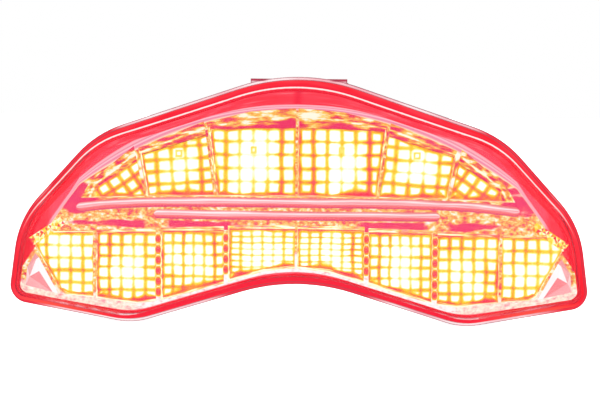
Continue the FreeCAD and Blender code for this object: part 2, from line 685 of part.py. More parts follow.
def export_boards():
    led_back_y = LED_BOARD_Y + BOARD_THICKNESS
    inside_y = BACK_Y - WALL
    spacers = both_sides(SPACERS)
    upper_holes = [(x, z) for x, z in spacers if z > 0]
    lower_holes = [(x, z) for x, z in spacers if z < 0]
    save("upper_led_board", make_board(mirrored(UPPER_BOARD), LED_BOARD_Y, upper_holes))
    save("lower_led_board", make_board(mirrored(LOWER_BOARD), LED_BOARD_Y, lower_holes))
    save("upper_leds", *[make_led(x, z) for x, z in both_sides(UPPER_LEDS)])
    save("lower_leds", *[make_led(x, z) for x, z in both_sides(LOWER_LEDS)])
    save("led_resistors", *[make_resistor(x, z) for x, z in resistor_places()])
    save("board_spacers", *[make_spacer(x, z, 6.0, led_back_y, inside_y) for x, z in spacers])
    front_head_y = LED_BOARD_Y - SCREW_HEAD_DEPTH
    save("led_board_screws", *[pan_screw(x, z, front_head_y, 6.0, 1) for x, z in spacers])
    rear_head_y = BACK_Y + SCREW_HEAD_DEPTH
    save("rear_screws", *[pan_screw(x, z, rear_head_y, 8.0, -1) for x, z in spacers])
    control_spacers = both_sides(CONTROL_SPACERS)
    corners = [
        (-CONTROL_HALF, CONTROL_TOP),
        (CONTROL_HALF, CONTROL_TOP),
        (CONTROL_HALF, CONTROL_BOTTOM),
        (-CONTROL_HALF, CONTROL_BOTTOM),
    ]
    control_back_y = CONTROL_BOARD_Y + BOARD_THICKNESS
    post_y = inside_y - 2.0
    save("control_board", make_board(corners, CONTROL_BOARD_Y, control_spacers))
    save(
        "control_board_spacers",
        *[make_spacer(x, z, 5.0, control_back_y, post_y) for x, z in control_spacers],
    )
    save(
        "control_board_screws",
        *[pan_screw(x, z, CONTROL_BOARD_Y - SCREW_HEAD_DEPTH, 5.0, 1) for x, z in control_spacers],
    )
    save("controller_chip", make_chip(-12.0, -4.0, 10.0, 4.0, 1.75, 7))
    save("driver_transistors", *[make_chip(x, -4.0, 6.5, 6.1, 2.3, 2) for x in (1.0, 10.0, 19.0)])
    save("input_diode", make_chip(-22.0, -12.0, 4.6, 2.7, 2.2, 1))
    save("smoothing_capacitor", make_capacitor(-22.0, 2.0))
    save("upper_link_header", make_link(8.0, 4))
    save("lower_link_header", make_link(-18.0, 4))
    save("harness_socket", make_harness_socket())


def export_all():
    save("lens", make_lens())
    save("lens_seal", make_seal())
    save("housing", make_housing())
    save("reflector_bezel", make_bezel())
    counts = {"upper": 0, "lower": 0}
    for row, floor, front in cells():
        counts[row] += 1
        save(row + "_optic_" + str(counts[row]), make_optic(floor))
    save("upper_trim_bar", make_bar(UPPER_BAR))
    save("lower_trim_bar", make_bar(LOWER_BAR))
    export_boards()
    save("mounting_stud_left", make_stud(-STUD_X))
    save("mounting_stud_right", make_stud(STUD_X))
    pad_hole = STUD_SHOULDER_RADIUS + STUD_HOLE_CLEARANCE
    pad_y = SEAT_Y - PAD_THICKNESS
    save("boss_pads", *[tube(x, STUD_Z, BOSS_RADIUS, pad_hole, pad_y, SEAT_Y) for x in (-STUD_X, STUD_X)])
    shelf_sides = (-SHELF_HOLE_X, SHELF_HOLE_X)
    save("shelf_grommets", *[make_shelf_grommet(x) for x in shelf_sides])
    save("shelf_sleeves", *[make_shelf_sleeve(x) for x in shelf_sides])
    well_head_y = WELL_FLOOR_Y + SCREW_HEAD_DEPTH
    wells = both_sides(BEZEL_SCREWS)
    save("bezel_screws", *[pan_screw(x, z, well_head_y, BEZEL_SCREW_LENGTH, -1) for x, z in wells])
    save("harness_grommet", make_grommet())
    save("vent_cap", make_vent_cap())
    membrane_y = BACK_Y - WALL
    save("vent_membrane", rod(VENT_X, VENT_Z, VENT_HOLE + 1.6, membrane_y - 1.3, membrane_y - 1.0))


export_all()
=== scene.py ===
import json
import math
import random

import bmesh
import bpy
from mathutils import Matrix, Vector, noise
from mathutils.bvhtree import BVHTree


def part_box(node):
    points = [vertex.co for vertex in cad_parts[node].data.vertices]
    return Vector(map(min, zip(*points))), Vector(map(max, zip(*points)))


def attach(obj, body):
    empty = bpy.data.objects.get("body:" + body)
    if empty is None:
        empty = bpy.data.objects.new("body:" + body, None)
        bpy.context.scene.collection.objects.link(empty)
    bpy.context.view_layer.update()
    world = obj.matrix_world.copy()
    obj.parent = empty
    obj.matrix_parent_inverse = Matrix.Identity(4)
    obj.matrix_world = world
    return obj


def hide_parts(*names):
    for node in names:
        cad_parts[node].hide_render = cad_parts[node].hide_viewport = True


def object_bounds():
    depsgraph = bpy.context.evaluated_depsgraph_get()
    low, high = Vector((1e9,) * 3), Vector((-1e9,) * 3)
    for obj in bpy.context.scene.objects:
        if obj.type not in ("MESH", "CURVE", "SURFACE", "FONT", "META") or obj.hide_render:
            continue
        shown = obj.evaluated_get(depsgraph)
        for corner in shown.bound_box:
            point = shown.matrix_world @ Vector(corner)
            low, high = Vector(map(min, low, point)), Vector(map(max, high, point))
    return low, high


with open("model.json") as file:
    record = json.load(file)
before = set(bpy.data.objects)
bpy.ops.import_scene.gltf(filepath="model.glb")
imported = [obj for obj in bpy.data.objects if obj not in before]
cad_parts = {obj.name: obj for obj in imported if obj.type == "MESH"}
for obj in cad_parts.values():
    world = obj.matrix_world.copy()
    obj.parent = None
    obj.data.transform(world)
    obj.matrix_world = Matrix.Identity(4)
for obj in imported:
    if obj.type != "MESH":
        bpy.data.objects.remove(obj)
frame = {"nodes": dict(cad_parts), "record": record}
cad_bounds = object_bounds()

NODES = frame["nodes"]
ROOT = "root"
MM = 0.001
# Rays from the front start here, and every ray reaches this far.
AHEAD_Y = -0.2
FAR = 1.0


def mm(*sizes):
    """Lengths in millimetres, in the frame's metres."""
    return tuple(size * MM for size in sizes)


# ---- View ----

VIEW_DISTANCE = 0.9
VIEW_AZIMUTH = math.radians(2.3)
VIEW_ELEVATION = math.radians(4.0)
VIEW_ROLL = math.radians(0.5)
SENSOR = 36.0
FRAME_WIDTH = 0.291
FRAME_CENTRE = Vector((0.001, -0.036, 0.0024))

# ---- Lens and bezel: how polygons are told apart, by depth and by the way they face ----

LENS_FACE_Y = -40.0 * MM
FACING = 0.93
# The lens's face bends back at its edge, so it takes a closer aim and nearly no tilt up or down.
LENS_FACING = 0.955
LENS_TILT = 0.12
FLANGE_FRONT_Y = -37.1 * MM
RIM_FRONT_Y = -30.0 * MM

# ---- Fades on the lens: each starts at its first value and is full at its second ----

# The painted highlight along the face's edge, by the share of the normal that points forwards and upwards.
EDGE_START = (0.56, 0.68)
EDGE_END = (0.93, 0.86)
EDGE_UP = (0.16, 0.42)
# The side, by depth in front of the origin, by height, and by distance from the middle plane.
# Painted shade at the foot and next to the face's edge, and painted warm light low at the outer ends.
SIDE_FOOT = mm(39.5, 37.2)
SIDE_DEEP = mm(46.0, 56.0)
SIDE_LOW = mm(-44.0, -50.0)
SIDE_LOW_OUTER = mm(80.0, 105.0)
# The flange, by height, by distance from the middle plane, and by how far it faces forwards.
# These place the flange's painted pale highlight, the painted shade on its rim, and painted shade beside the
# tab.
FLANGE_UPPER = (0.0, 10.0 * MM)
FLANGE_TOP = mm(92.0, 82.0)
FLANGE_BOTTOM = mm(32.0, 48.0)
FLANGE_BOTTOM_END = mm(130.0, 112.0)
FLANGE_OUTER = mm(100.0, 125.0)
FLANGE_FRONT = (0.84, 0.97)
TAB_HEIGHT = mm(59.4, 60.2)
TAB_SIDE = mm(14.0, 18.0)

# ---- Light on the bezel ----

# The lower edge of the upper lip's pale painted reflection is a parabola, with an extra slope from where the
# tips start.
# The lip is widest part of the way out.
LIP_MIDDLE = 46.2 * MM
LIP_FALL = 3.34
LIP_TIPS = 105.0 * MM
LIP_TIP_SLOPE = 0.6
LIP_WIDTH = 2.8 * MM
LIP_LEAST_WIDTH = 2.5 * MM
LIP_SWELL = 0.88
LIP_SHRINK = 85.0
LIP_EDGE = (0.06, -0.06)
# Below the first of these heights the lip's painted highlight bands give way to a smooth sweep of painted
# reflection.
LIP_BANDS_HEIGHT = mm(-26.0, -20.0)
# The strip of painted light below the lower cells: its inner part's edge rises towards the middle, and its
# outer part's, which is less bright, towards the ends.
UNDER_INNER_SLOPE = 0.30
UNDER_INNER = mm(-20.5, -22.5)
UNDER_INNER_END = mm(95.0, 70.0)
UNDER_OUTER_SLOPE = 0.139
UNDER_OUTER = mm(-55.5, -57.5)
UNDER_OUTER_SHARE = 0.65
# Red reflections, in millimetres: one at each wing, and a broken belt between the rows.
WING_X, WING_Z, WING_REACH = 107.0, 3.5, (10.0, 8.0)
BELT_CENTRE, BELT_REACH = (0.0, -9.0), (112.0, 2.4)
PATCH_EDGE = (1.15, 0.75)
# In metres: the belt's gaps, and a thin brow over each second upper cell.
BELT_GAP_X = 67.0 * MM
BELT_GAP = mm(4.0, 7.0)
BELT_START = mm(27.0, 33.0)
BROW_Z = 45.7 * MM
BROW_SLOPE = 0.25
BROW_EDGE = mm(2.0, 1.2)
BROW_START = mm(36.0, 42.0)
BROW_END = mm(73.0, 68.0)
# The upper outer cells flood the land around them with painted light, in pebbles.
FLOOD_SIDE = mm(58.0, 70.0)
FLOOD_HEIGHT = mm(8.0, 12.0)
# A wedge of painted red light at each tip, past a slanting line.
WEDGE_SLOPE = 1.2
WEDGE_LINE = mm(127.6, 128.8)
WEDGE_SIDE = mm(118.0, 122.0)
# The flank's deep red ends, and a deep spot in its middle.
FLANK_ENDS = mm(85.0, 120.0)
FLANK_SPOT = mm(3.2, 0.5)
# The cell walls' depth counts from the bezel's front, which lies back by x squared over its bow.
WALL_MOUTH = 54.0 * MM
BEZEL_BOW = 1.6
# Past the foot depth the walls take painted shade; between the highlight depths runs a painted highlight
# line.
WALL_FOOT_SHADE = mm(5.5, 8.0)
WALL_HIGHLIGHT_START = mm(4.4, 5.4)
WALL_HIGHLIGHT_END = mm(6.8, 5.8)

# ---- Optics ----

PILLOW_HEIGHT = 0.8 * MM
PLATE_THICKNESS = 2.0 * MM
# The mesh step of the pillowed sheets.
FINE = 0.5 * MM
# A plate's grooves take their light from lists of this many random draws.
GROOVES = 60
# The square mark of the LED on the middle plates: its place above the plate's middle, half sizes and level.
MARK_RISE = 5.5 * MM
MARK_INNER = 0.7 * MM
MARK_OUTER = 1.7 * MM
MARK_LEVEL = 0.66
# For each row of cells, from the centre outwards: pillow width and height, turn in degrees, light at the
# cell's edges, light added at its middle, and how wide and high that bright middle is.
UPPER_PILLOWS = [
    (6.6, 6.2, 0.0, 0.34, 0.60, 10.0, 17.0),
    (6.4, 6.2, 4.0, 0.30, 0.48, 9.0, 10.0),
    (6.6, 6.6, 34.0, 0.10, 0.10, 9.0, 6.0),
]
LOWER_PILLOWS = [
    (5.3, 3.0, 0.0, 0.40, 0.40, 10.0, 12.0),
    (5.4, 5.2, 0.0, 0.36, 0.44, 9.0, 11.0),
    (5.4, 5.2, 0.0, 0.30, 0.44, 9.0, 11.0),
    (5.8, 5.5, 0.0, 0.52, 0.12, 12.0, 12.0),
]

# ---- Colour ramps: places from 0 to 1 and the colours there ----

# Lit plastic, from the deepest shade to the brightest.
GLOW = [
    (0.00, (0.70, 0.035, 0.085)),
    (0.18, (0.69, 0.10, 0.07)),
    (0.34, (0.68, 0.25, 0.03)),
    (0.48, (0.70, 0.46, 0.02)),
    (0.60, (0.72, 0.61, 0.04)),
    (0.71, (0.76, 0.74, 0.18)),
    (0.82, (0.84, 0.92, 0.58)),
    (0.93, (0.95, 1.00, 0.95)),
]
# The bezel's skin, all painted light: specks, the same below the lower cells, pebbles of light in the
# flooded land, and red reflections.
LIGHT_SPECKS = [
    (0.36, (0.80, 0.07, 0.13)),
    (0.43, (0.78, 0.21, 0.09)),
    (0.50, (0.84, 0.50, 0.08)),
    (0.57, (0.90, 0.75, 0.28)),
    (0.64, (1.0, 0.96, 0.88)),
]
BRIGHT_LIGHT_SPECKS = [(0.36, (0.92, 0.50, 0.52)), (0.44, (1.0, 0.88, 0.86)), (0.54, (1.0, 1.0, 1.0))]
LIGHT_PEBBLES = [
    (0.38, (1.0, 1.0, 0.92)),
    (0.46, (0.92, 0.82, 0.25)),
    (0.54, (0.86, 0.42, 0.05)),
    (0.66, (0.80, 0.08, 0.12)),
]
RED_SHADE = [(0.45, (0.75, 0.028, 0.13)), (0.60, (0.80, 0.055, 0.12)), (0.68, (0.88, 0.40, 0.35))]
# Painted highlight bands across the upper lip, from its lower edge to its upper one.
LIP_HIGHLIGHT_BANDS = [
    (0.06, (1.0, 0.80, 0.55)),
    (0.20, (0.84, 0.34, 0.42)),
    (0.34, (0.80, 0.24, 0.38)),
    (0.50, (0.98, 0.62, 0.68)),
    (0.62, (0.78, 0.24, 0.33)),
    (0.80, (0.98, 0.52, 0.58)),
    (0.94, (0.94, 0.34, 0.40)),
    (1.00, (0.94, 0.060, 0.105)),
]
# The lip's smooth sweep of painted reflection.
LIP_SWEEP_REFLECTION = [(0.35, (0.80, 0.22, 0.24)), (0.5, (0.84, 0.42, 0.42)), (0.66, (0.88, 0.70, 0.68))]
FLANK = [(0.40, (0.86, 0.034, 0.062)), (0.56, (0.92, 0.058, 0.098)), (0.66, (0.95, 0.17, 0.21))]
RIM_GLOW = [(0.3, (0.72, 0.012, 0.025)), (0.7, (0.95, 0.028, 0.05))]
# The cell walls' painted light, from magenta shade to white.
WALL_LIGHT = [
    (0.38, (0.74, 0.03, 0.13)),
    (0.44, (0.78, 0.12, 0.10)),
    (0.49, (0.82, 0.34, 0.07)),
    (0.55, (0.88, 0.66, 0.12)),
    (0.62, (1.0, 1.0, 0.80)),
]
# Painted reflections on the corner facets, from rose to white.
FACET_REFLECTIONS = [
    (0.0, (0.76, 0.20, 0.22)),
    (0.45, (0.80, 0.42, 0.43)),
    (0.75, (0.95, 0.85, 0.86)),
    (1.0, (1.0, 1.0, 1.0)),
]
# Painted reflections across a trim bar, with a white painted highlight, from its lower edge to its upper
# one.
TRIM_REFLECTIONS = [
    (0.04, (0.62, 0.05, 0.17)),
    (0.16, (0.72, 0.08, 0.15)),
    (0.28, (0.76, 0.14, 0.13)),
    (0.42, (0.78, 0.22, 0.24)),
    (0.50, (0.85, 0.60, 0.60)),
    (0.56, (0.78, 0.28, 0.31)),
    (0.68, (0.86, 0.62, 0.62)),
    (0.75, (1.0, 0.96, 0.96)),
    (0.82, (0.82, 0.48, 0.48)),
    (0.94, (0.74, 0.18, 0.19)),
]


# ---- Node helpers ----


def new_material(name, colour, roughness, metallic=0.0, **sockets):
    material = bpy.data.materials.new(name)
    material.use_nodes = True
    shader = material.node_tree.nodes["Principled BSDF"]
    shader.inputs["Base Color"].default_value = (*colour, 1.0)
    shader.inputs["Roughness"].default_value = roughness
    shader.inputs["Metallic"].default_value = metallic
    for socket, value in sockets.items():
        shader.inputs[socket.replace("_", " ")].default_value = value
    return material, shader


def node(owner, kind, **settings):
    """A new node in the tree that a socket or another node belongs to."""
    made = owner.id_data.nodes.new(kind)
    for key, value in settings.items():
        if key in made.inputs:
            made.inputs[key].default_value = value
        else:
            setattr(made, key, value)
    return made


def link(source, target):
    target.id_data.links.new(source, target)


def position(shader):
    """Where a surface point is in the row frame: every piece's object sits at the origin."""
    return node(shader, "ShaderNodeTexCoord").outputs["Object"]


def axis(vector, name):
    split = node(vector, "ShaderNodeSeparateXYZ")
    link(vector, split.inputs[0])
    return split.outputs[name]


def maths(operation, *values):
    """A Math node on sockets or plain numbers."""
    owner = [value for value in values if not isinstance(value, (int, float))][0]
    made = node(owner, "ShaderNodeMath", operation=operation)
    for place, value in enumerate(values):
        if isinstance(value, (int, float)):
            made.inputs[place].default_value = value
        else:
            link(value, made.inputs[place])
    return made.outputs[0]


def plus(first, second):
    return maths("ADD", first, second)


def minus(first, second):
    return maths("SUBTRACT", first, second)


def times(*values):
    """The product of sockets or plain numbers, taken from the left."""
    product = values[0]
    for value in values[1:]:
        product = maths("MULTIPLY", product, value)
    return product


def side_of(where):
    """The distance from the middle plane, on either side."""
    return maths("ABSOLUTE", axis(where, "X"))


def forwards_of(vector):
    """How far a vector points to the front."""
    return times(axis(vector, "Y"), -1.0)


def between(value, low, high):
    """0 below low and 1 above high, smoothly. Works downwards too, where low is more than high."""
    made = node(value, "ShaderNodeMapRange", interpolation_type="SMOOTHSTEP")
    made.inputs["From Min"].default_value = low
    made.inputs["From Max"].default_value = high
    link(value, made.inputs["Value"])
    return made.outputs["Result"]


def noise_field(shader, stretch, detail=3.0, roughness=0.5):
    """Noise with its own number of features per metre along each axis."""
    mapping = node(shader, "ShaderNodeMapping")
    mapping.inputs["Scale"].default_value = stretch
    field = node(shader, "ShaderNodeTexNoise", Scale=1.0, Detail=detail, Roughness=roughness)
    link(position(shader), mapping.inputs["Vector"])
    link(mapping.outputs["Vector"], field.inputs["Vector"])
    return field.outputs["Fac"]


def ramp(factor, stops):
    made = node(factor, "ShaderNodeValToRGB")
    elements = made.color_ramp.elements
    while len(elements) > 1:
        elements.remove(elements[-1])
    for place, (at, colour) in enumerate(stops):
        element = elements[0] if place == 0 else elements.new(at)
        element.position = at
        element.color = (*colour, 1.0)
    link(factor, made.inputs["Fac"])
    return made.outputs["Color"]


def blend(factor, first, second):
    """Mixes two colours, given as sockets or as plain colours."""
    made = node(factor, "ShaderNodeMix", data_type="RGBA")
    link(factor, made.inputs["Factor"])
    for value, place in ((first, 6), (second, 7)):
        if isinstance(value, tuple):
            made.inputs[place].default_value = (*value, 1.0)
        else:
            link(value, made.inputs[place])
    return made.outputs[2]


def add_bump(shader, height, strength, distance, round_edges=0.0):
    """Bump from a height field, over edges rounded by a radius in millimetres."""
    bump = node(shader, "ShaderNodeBump", Strength=strength, Distance=distance * MM)
    link(height, bump.inputs["Height"])
    if round_edges:
        bevel = node(shader, "ShaderNodeBevel", samples=4, Radius=round_edges * MM)
        link(bevel.outputs["Normal"], bump.inputs["Normal"])
    link(bump.outputs["Normal"], shader.inputs["Normal"])


def vary(shader, dark, light, field):
    """Base colour between two shades."""
    link(ramp(field, [(0.3, dark), (0.7, light)]), shader.inputs["Base Color"])


def vary_roughness(shader, low, high, field):
    spread = node(shader, "ShaderNodeMapRange")
    spread.inputs["From Min"].default_value = 0.3
    spread.inputs["From Max"].default_value = 0.7
    spread.inputs["To Min"].default_value = low
    spread.inputs["To Max"].default_value = high
    link(field, spread.inputs["Value"])
    link(spread.outputs["Result"], shader.inputs["Roughness"])


def glow(shader, colour, strength):
    """Emission from a colour socket or a plain colour."""
    if isinstance(colour, tuple):
        shader.inputs["Emission Color"].default_value = (*colour, 1.0)
    else:
        link(colour, shader.inputs["Emission Color"])
    shader.inputs["Emission Strength"].default_value = strength


# ---- Materials of the lens, the bezel and the optics ----


def lens_face_material():
    """Clear acrylic with a faint ripple, and a low IOR so that the cells behind it stay in place."""
    material, shader = new_material("lens_face", (1.0, 0.95, 0.955), 0.0, IOR=1.15, Transmission_Weight=1.0)
    ripple = noise_field(shader, (45.0, 45.0, 45.0), 1.0)
    add_bump(shader, ripple, 0.05, 0.4)
    return material


def lens_side_material():
    """Dense red acrylic, lit from inside, with a pale line of light along the face's edge."""
    material, shader = new_material(
        "lens_side", (0.12, 0.002, 0.004), 0.25, IOR=1.49, Specular_IOR_Level=0.0
    )
    where = position(shader)
    facing = node(shader, "ShaderNodeTexCoord").outputs["Normal"]
    forwards = forwards_of(facing)
    lit_edge = times(
        between(forwards, *EDGE_START),
        between(forwards, *EDGE_END),
        between(axis(facing, "Z"), *EDGE_UP),
    )
    depth = forwards_of(where)
    # Painted warm light on the side, low down towards its outer ends.
    low = times(between(axis(where, "Z"), *SIDE_LOW), between(side_of(where), *SIDE_LOW_OUTER))
    streak = noise_field(shader, (60.0, 60.0, 60.0), 3.0)
    red = ramp(streak, [(0.35, (0.80, 0.016, 0.030)), (0.65, (0.95, 0.045, 0.068))])
    red = blend(low, red, (0.84, 0.10, 0.065))
    # Painted shade: the red deepens next to the face's edge and dulls at the foot by the flange.
    red = blend(between(depth, *SIDE_DEEP), red, (0.74, 0.020, 0.045))
    red = blend(between(depth, *SIDE_FOOT), red, (0.56, 0.07, 0.08))
    glow(shader, blend(lit_edge, red, (1.0, 0.86, 0.84)), 1.0)
    add_bump(shader, streak, 0.06, 0.2)
    return material


def lens_flange_material():
    """The lens's welding flange: a red front, pale with painted light along most of its length, and a rim of
    painted dark shade.
    """
    material, shader = new_material("lens_flange", (0.06, 0.002, 0.004), 0.3, Specular_IOR_Level=0.0)
    where = position(shader)
    rounded = node(shader, "ShaderNodeBevel", samples=8, Radius=1.5 * MM).outputs["Normal"]
    side = side_of(where)
    height = axis(where, "Z")
    # Painted pale highlight: along the middle of the top, and along the bottom between its middle and its
    # ends.
    upper = between(height, *FLANGE_UPPER)
    top = times(upper, between(side, *FLANGE_TOP))
    bottom = minus(between(side, *FLANGE_BOTTOM), upper)
    bottom = times(bottom, between(side, *FLANGE_BOTTOM_END))
    streak = noise_field(shader, (30.0, 30.0, 30.0), 3.0)
    pale = ramp(streak, [(0.4, (0.90, 0.50, 0.55)), (0.6, (1.0, 0.88, 0.90))])
    front = blend(maths("MAXIMUM", top, bottom), (0.84, 0.035, 0.060), pale)
    # Painted shade on the flange's top beside the tab's corners.
    tab = times(between(height, *TAB_HEIGHT), between(side, *TAB_SIDE))
    front = blend(tab, front, (0.42, 0.05, 0.09))
    # Painted shade on the rounded rim, which faces away from the front: darker and more mauve towards the
    # middle.
    outer = between(side, *FLANGE_OUTER)
    rim = blend(outer, (0.30, 0.06, 0.09), (0.42, 0.02, 0.035))
    in_front = between(forwards_of(rounded), *FLANGE_FRONT)
    glow(shader, blend(in_front, rim, front), 1.0)
    add_bump(shader, streak, 0.06, 0.2)
    return material


def ellipse(where, centre, reach):
    """The squared distance from a centre in x and z, and 1 at this reach, both in millimetres."""
    terms = []
    for name, middle, size in zip("XZ", centre, reach):
        offset = minus(axis(where, name), middle * MM)
        scaled = maths("DIVIDE", offset, size * MM)
        terms.append(times(scaled, scaled))
    return plus(*terms)


def patch(where, centre, reach, wobble):
    """1 inside an ellipse, with an edge that wobbles by a noise value."""
    return between(plus(ellipse(where, centre, reach), wobble), *PATCH_EDGE)


def under_cells(where):
    """1 on the strip below the lower row of cells, and less on its outer part."""
    side = side_of(where)
    height = axis(where, "Z")
    inner = between(plus(height, times(side, UNDER_INNER_SLOPE)), *UNDER_INNER)
    inner = times(inner, between(side, *UNDER_INNER_END))
    outer = between(minus(height, times(side, UNDER_OUTER_SLOPE)), *UNDER_OUTER)
    return maths("MAXIMUM", inner, times(outer, UNDER_OUTER_SHARE))


def lip_share(side, height):
    """How far up a point is between the lower edge of the pale painted reflection on the upper lip, 0, and
    its upper edge, 1.
    """
    squared = times(side, side)
    lower = minus(LIP_MIDDLE, times(squared, LIP_FALL))
    past = maths("MAXIMUM", minus(side, LIP_TIPS), 0.0)
    lower = minus(lower, times(past, LIP_TIP_SLOPE))
    width = times(squared, minus(1.0, times(squared, LIP_SHRINK)))
    width = plus(times(width, LIP_SWELL), LIP_WIDTH)
    width = maths("MAXIMUM", width, LIP_LEAST_WIDTH)
    return maths("DIVIDE", minus(height, lower), width)


def red_reflections(where, wobble):
    """1 where the skin mirrors red: at both wings, along the belt and on the brows."""
    side = side_of(where)
    wings = plus(
        patch(where, (-WING_X, WING_Z), WING_REACH, wobble),
        patch(where, (WING_X, WING_Z), WING_REACH, wobble),
    )
    belt = patch(where, BELT_CENTRE, BELT_REACH, wobble)
    from_gap = maths("ABSOLUTE", minus(side, BELT_GAP_X))
    belt = times(belt, between(from_gap, *BELT_GAP), between(side, *BELT_START))
    rising = plus(axis(where, "Z"), times(side, BROW_SLOPE))
    off_brow = maths("ABSOLUTE", minus(rising, BROW_Z))
    off_brow = plus(off_brow, times(wobble, 1.5 * MM))
    brow = times(between(off_brow, *BROW_EDGE), between(side, *BROW_START), between(side, *BROW_END))
    return maths("MAXIMUM", maths("MAXIMUM", wings, belt), brow)


def bezel_skin_material():
    """Metallised front in painted light: a pale painted reflection on the lip in bands like ribs, and specks
    of light from the cells along the narrow lands.
    """
    material, shader = new_material("bezel_skin", (0.10, 0.014, 0.02), 0.16, 0.9)
    where = position(shader)
    side = side_of(where)
    height = axis(where, "Z")
    specks = noise_field(shader, (330.0, 330.0, 520.0), 4.0, roughness=0.7)
    waves = noise_field(shader, (90.0, 90.0, 260.0), 3.0)
    wobble = times(minus(waves, 0.5), 1.6)
    cells = node(shader, "ShaderNodeTexVoronoi", Scale=175.0, Randomness=0.75)
    link(where, cells.inputs["Vector"])
    # Painted light: pebbles of light by the upper outer cells, specks of light elsewhere, brighter below the
    # lower cells.
    flooded = times(between(side, *FLOOD_SIDE), between(height, *FLOOD_HEIGHT))
    pebbles = ramp(cells.outputs["Distance"], LIGHT_PEBBLES)
    lit = blend(flooded, ramp(specks, LIGHT_SPECKS), pebbles)
    lit = blend(under_cells(where), lit, ramp(specks, BRIGHT_LIGHT_SPECKS))
    lit = blend(red_reflections(where, wobble), lit, ramp(waves, RED_SHADE))
    lip = lip_share(side, height)
    # The lip's pale painted reflection: highlight bands, and a smooth sweep below them.
    sweep = ramp(noise_field(shader, (14.0, 14.0, 90.0), 2.0), LIP_SWEEP_REFLECTION)
    pale = blend(between(height, *LIP_BANDS_HEIGHT), sweep, ramp(lip, LIP_HIGHLIGHT_BANDS))
    # Painted red light on a wedge at each tip.
    slant = plus(times(side, WEDGE_SLOPE), height)
    wedge = times(between(slant, *WEDGE_LINE), between(side, *WEDGE_SIDE))
    outer = blend(wedge, pale, (0.84, 0.014, 0.035))
    inside = between(plus(lip, times(wobble, 0.12)), *LIP_EDGE)
    glow(shader, blend(inside, outer, lit), 1.0)
    add_bump(shader, specks, 0.12, 0.15, round_edges=0.4)
    return material


def bezel_flank_material():
    """The slope between the bezel's lip and the housing: red light in a satin metal coat."""
    material, shader = new_material("bezel_flank", (0.16, 0.008, 0.016), 0.3, 0.5)
    streak = noise_field(shader, (22.0, 420.0, 260.0), 3.0)
    side = side_of(position(shader))
    spot = between(side, *FLANK_SPOT)
    red = blend(spot, ramp(streak, FLANK), (0.72, 0.02, 0.055))
    red = blend(between(side, *FLANK_ENDS), red, (0.88, 0.016, 0.035))
    glow(shader, red, 1.0)
    add_bump(shader, streak, 0.15, 0.2)
    return material


def cell_wall_material():
    """Mirrored cell walls: streaks of light and a painted highlight line near the mouth, and painted magenta
    shade down by the plate.
    """
    material, shader = new_material("cell_wall", (0.12, 0.008, 0.02), 0.22, 0.8)
    streak = noise_field(shader, (95.0, 210.0, 300.0), 4.0, roughness=0.6)
    where = position(shader)
    across = axis(where, "X")
    bow = maths("DIVIDE", times(across, across), BEZEL_BOW)
    depth = minus(plus(axis(where, "Y"), WALL_MOUTH), bow)
    # Painted highlight line at one depth, painted shade past the foot, and more painted light over the strip
    # below the lower cells.
    line = times(between(depth, *WALL_HIGHLIGHT_START), between(depth, *WALL_HIGHLIGHT_END))
    field = plus(streak, times(line, 0.10))
    field = minus(field, times(between(depth, *WALL_FOOT_SHADE), 0.09))
    field = plus(field, times(under_cells(where), 0.12))
    glow(shader, ramp(field, WALL_LIGHT), 1.0)
    add_bump(shader, streak, 0.3, 0.4)
    return material


def rim_glow_material():
    """The housing's rim inside the lens, where the black plastic is flooded with red light."""
    material, shader = new_material("rim_glow", (0.10, 0.004, 0.008), 0.4, Specular_IOR_Level=0.1)
    mottle = noise_field(shader, (80.0, 80.0, 80.0), 3.0)
    glow(shader, ramp(mottle, RIM_GLOW), 1.0)
    return material


def stored(shader, name):
    """A number that the mesh keeps in a named attribute."""
    return node(shader, "ShaderNodeAttribute", attribute_name=name).outputs["Fac"]


def drifting(level, field, amount):
    """A level that a noise field pushes up or down, by an amount in all."""
    return plus(level, times(minus(field, 0.5), amount))


def optic_material():
    """Lit pillows. The lit attribute runs from the deepest groove, 0, to a bright crown, 1."""
    material, shader = new_material("optic", (0.16, 0.02, 0.012), 0.12, IOR=1.49, Specular_IOR_Level=0.1)
    # Fine noise makes the pillows' painted light sparkle.
    grain = noise_field(shader, (700.0, 700.0, 700.0), 2.0)
    level = drifting(stored(shader, "lit"), grain, 0.16)
    glow(shader, ramp(level, GLOW), 1.2)
    return material


def corner_material():
    """Flat facets in the bezel's lower corners, their painted reflection from rose, 0, to white, 1, in the
    lit attribute.
    """
    material, shader = new_material("corner_facet", (0.12, 0.03, 0.035), 0.12, 0.9)
    drift = noise_field(shader, (70.0, 70.0, 70.0), 3.0)
    level = drifting(stored(shader, "lit"), drift, 0.5)
    glow(shader, ramp(level, FACET_REFLECTIONS), 1.0)
    return material


def trim_material():
    """Satin metallised bar, coloured by painted reflections. The band attribute runs from its lower edge, 0,
    to its upper edge, 1.
    """
    material, shader = new_material("trim_bar", (0.12, 0.02, 0.03), 0.16, 0.85)
    wander = noise_field(shader, (26.0, 26.0, 500.0), 3.0)
    level = drifting(stored(shader, "band"), wander, 0.4)
    glow(shader, ramp(level, TRIM_REFLECTIONS), 1.0)
    vary_roughness(shader, 0.1, 0.26, wander)
    return material


# ---- Materials of the housing, the boards and the hardware ----


def housing_material():
    """Black moulded plastic with a fine spark texture."""
    shade = 0.012
    material, shader = new_material("housing", (shade, shade, shade * 1.05), 0.5, Specular_IOR_Level=0.3)
    spark = noise_field(shader, (1500.0, 1500.0, 1500.0), 3.0)
    mottle = noise_field(shader, (40.0, 40.0, 40.0), 3.0)
    vary(shader, (shade * 0.7,) * 3, (shade * 1.5,) * 3, mottle)
    vary_roughness(shader, 0.42, 0.6, mottle)
    add_bump(shader, spark, 0.5, 0.12, round_edges=0.45)
    return material


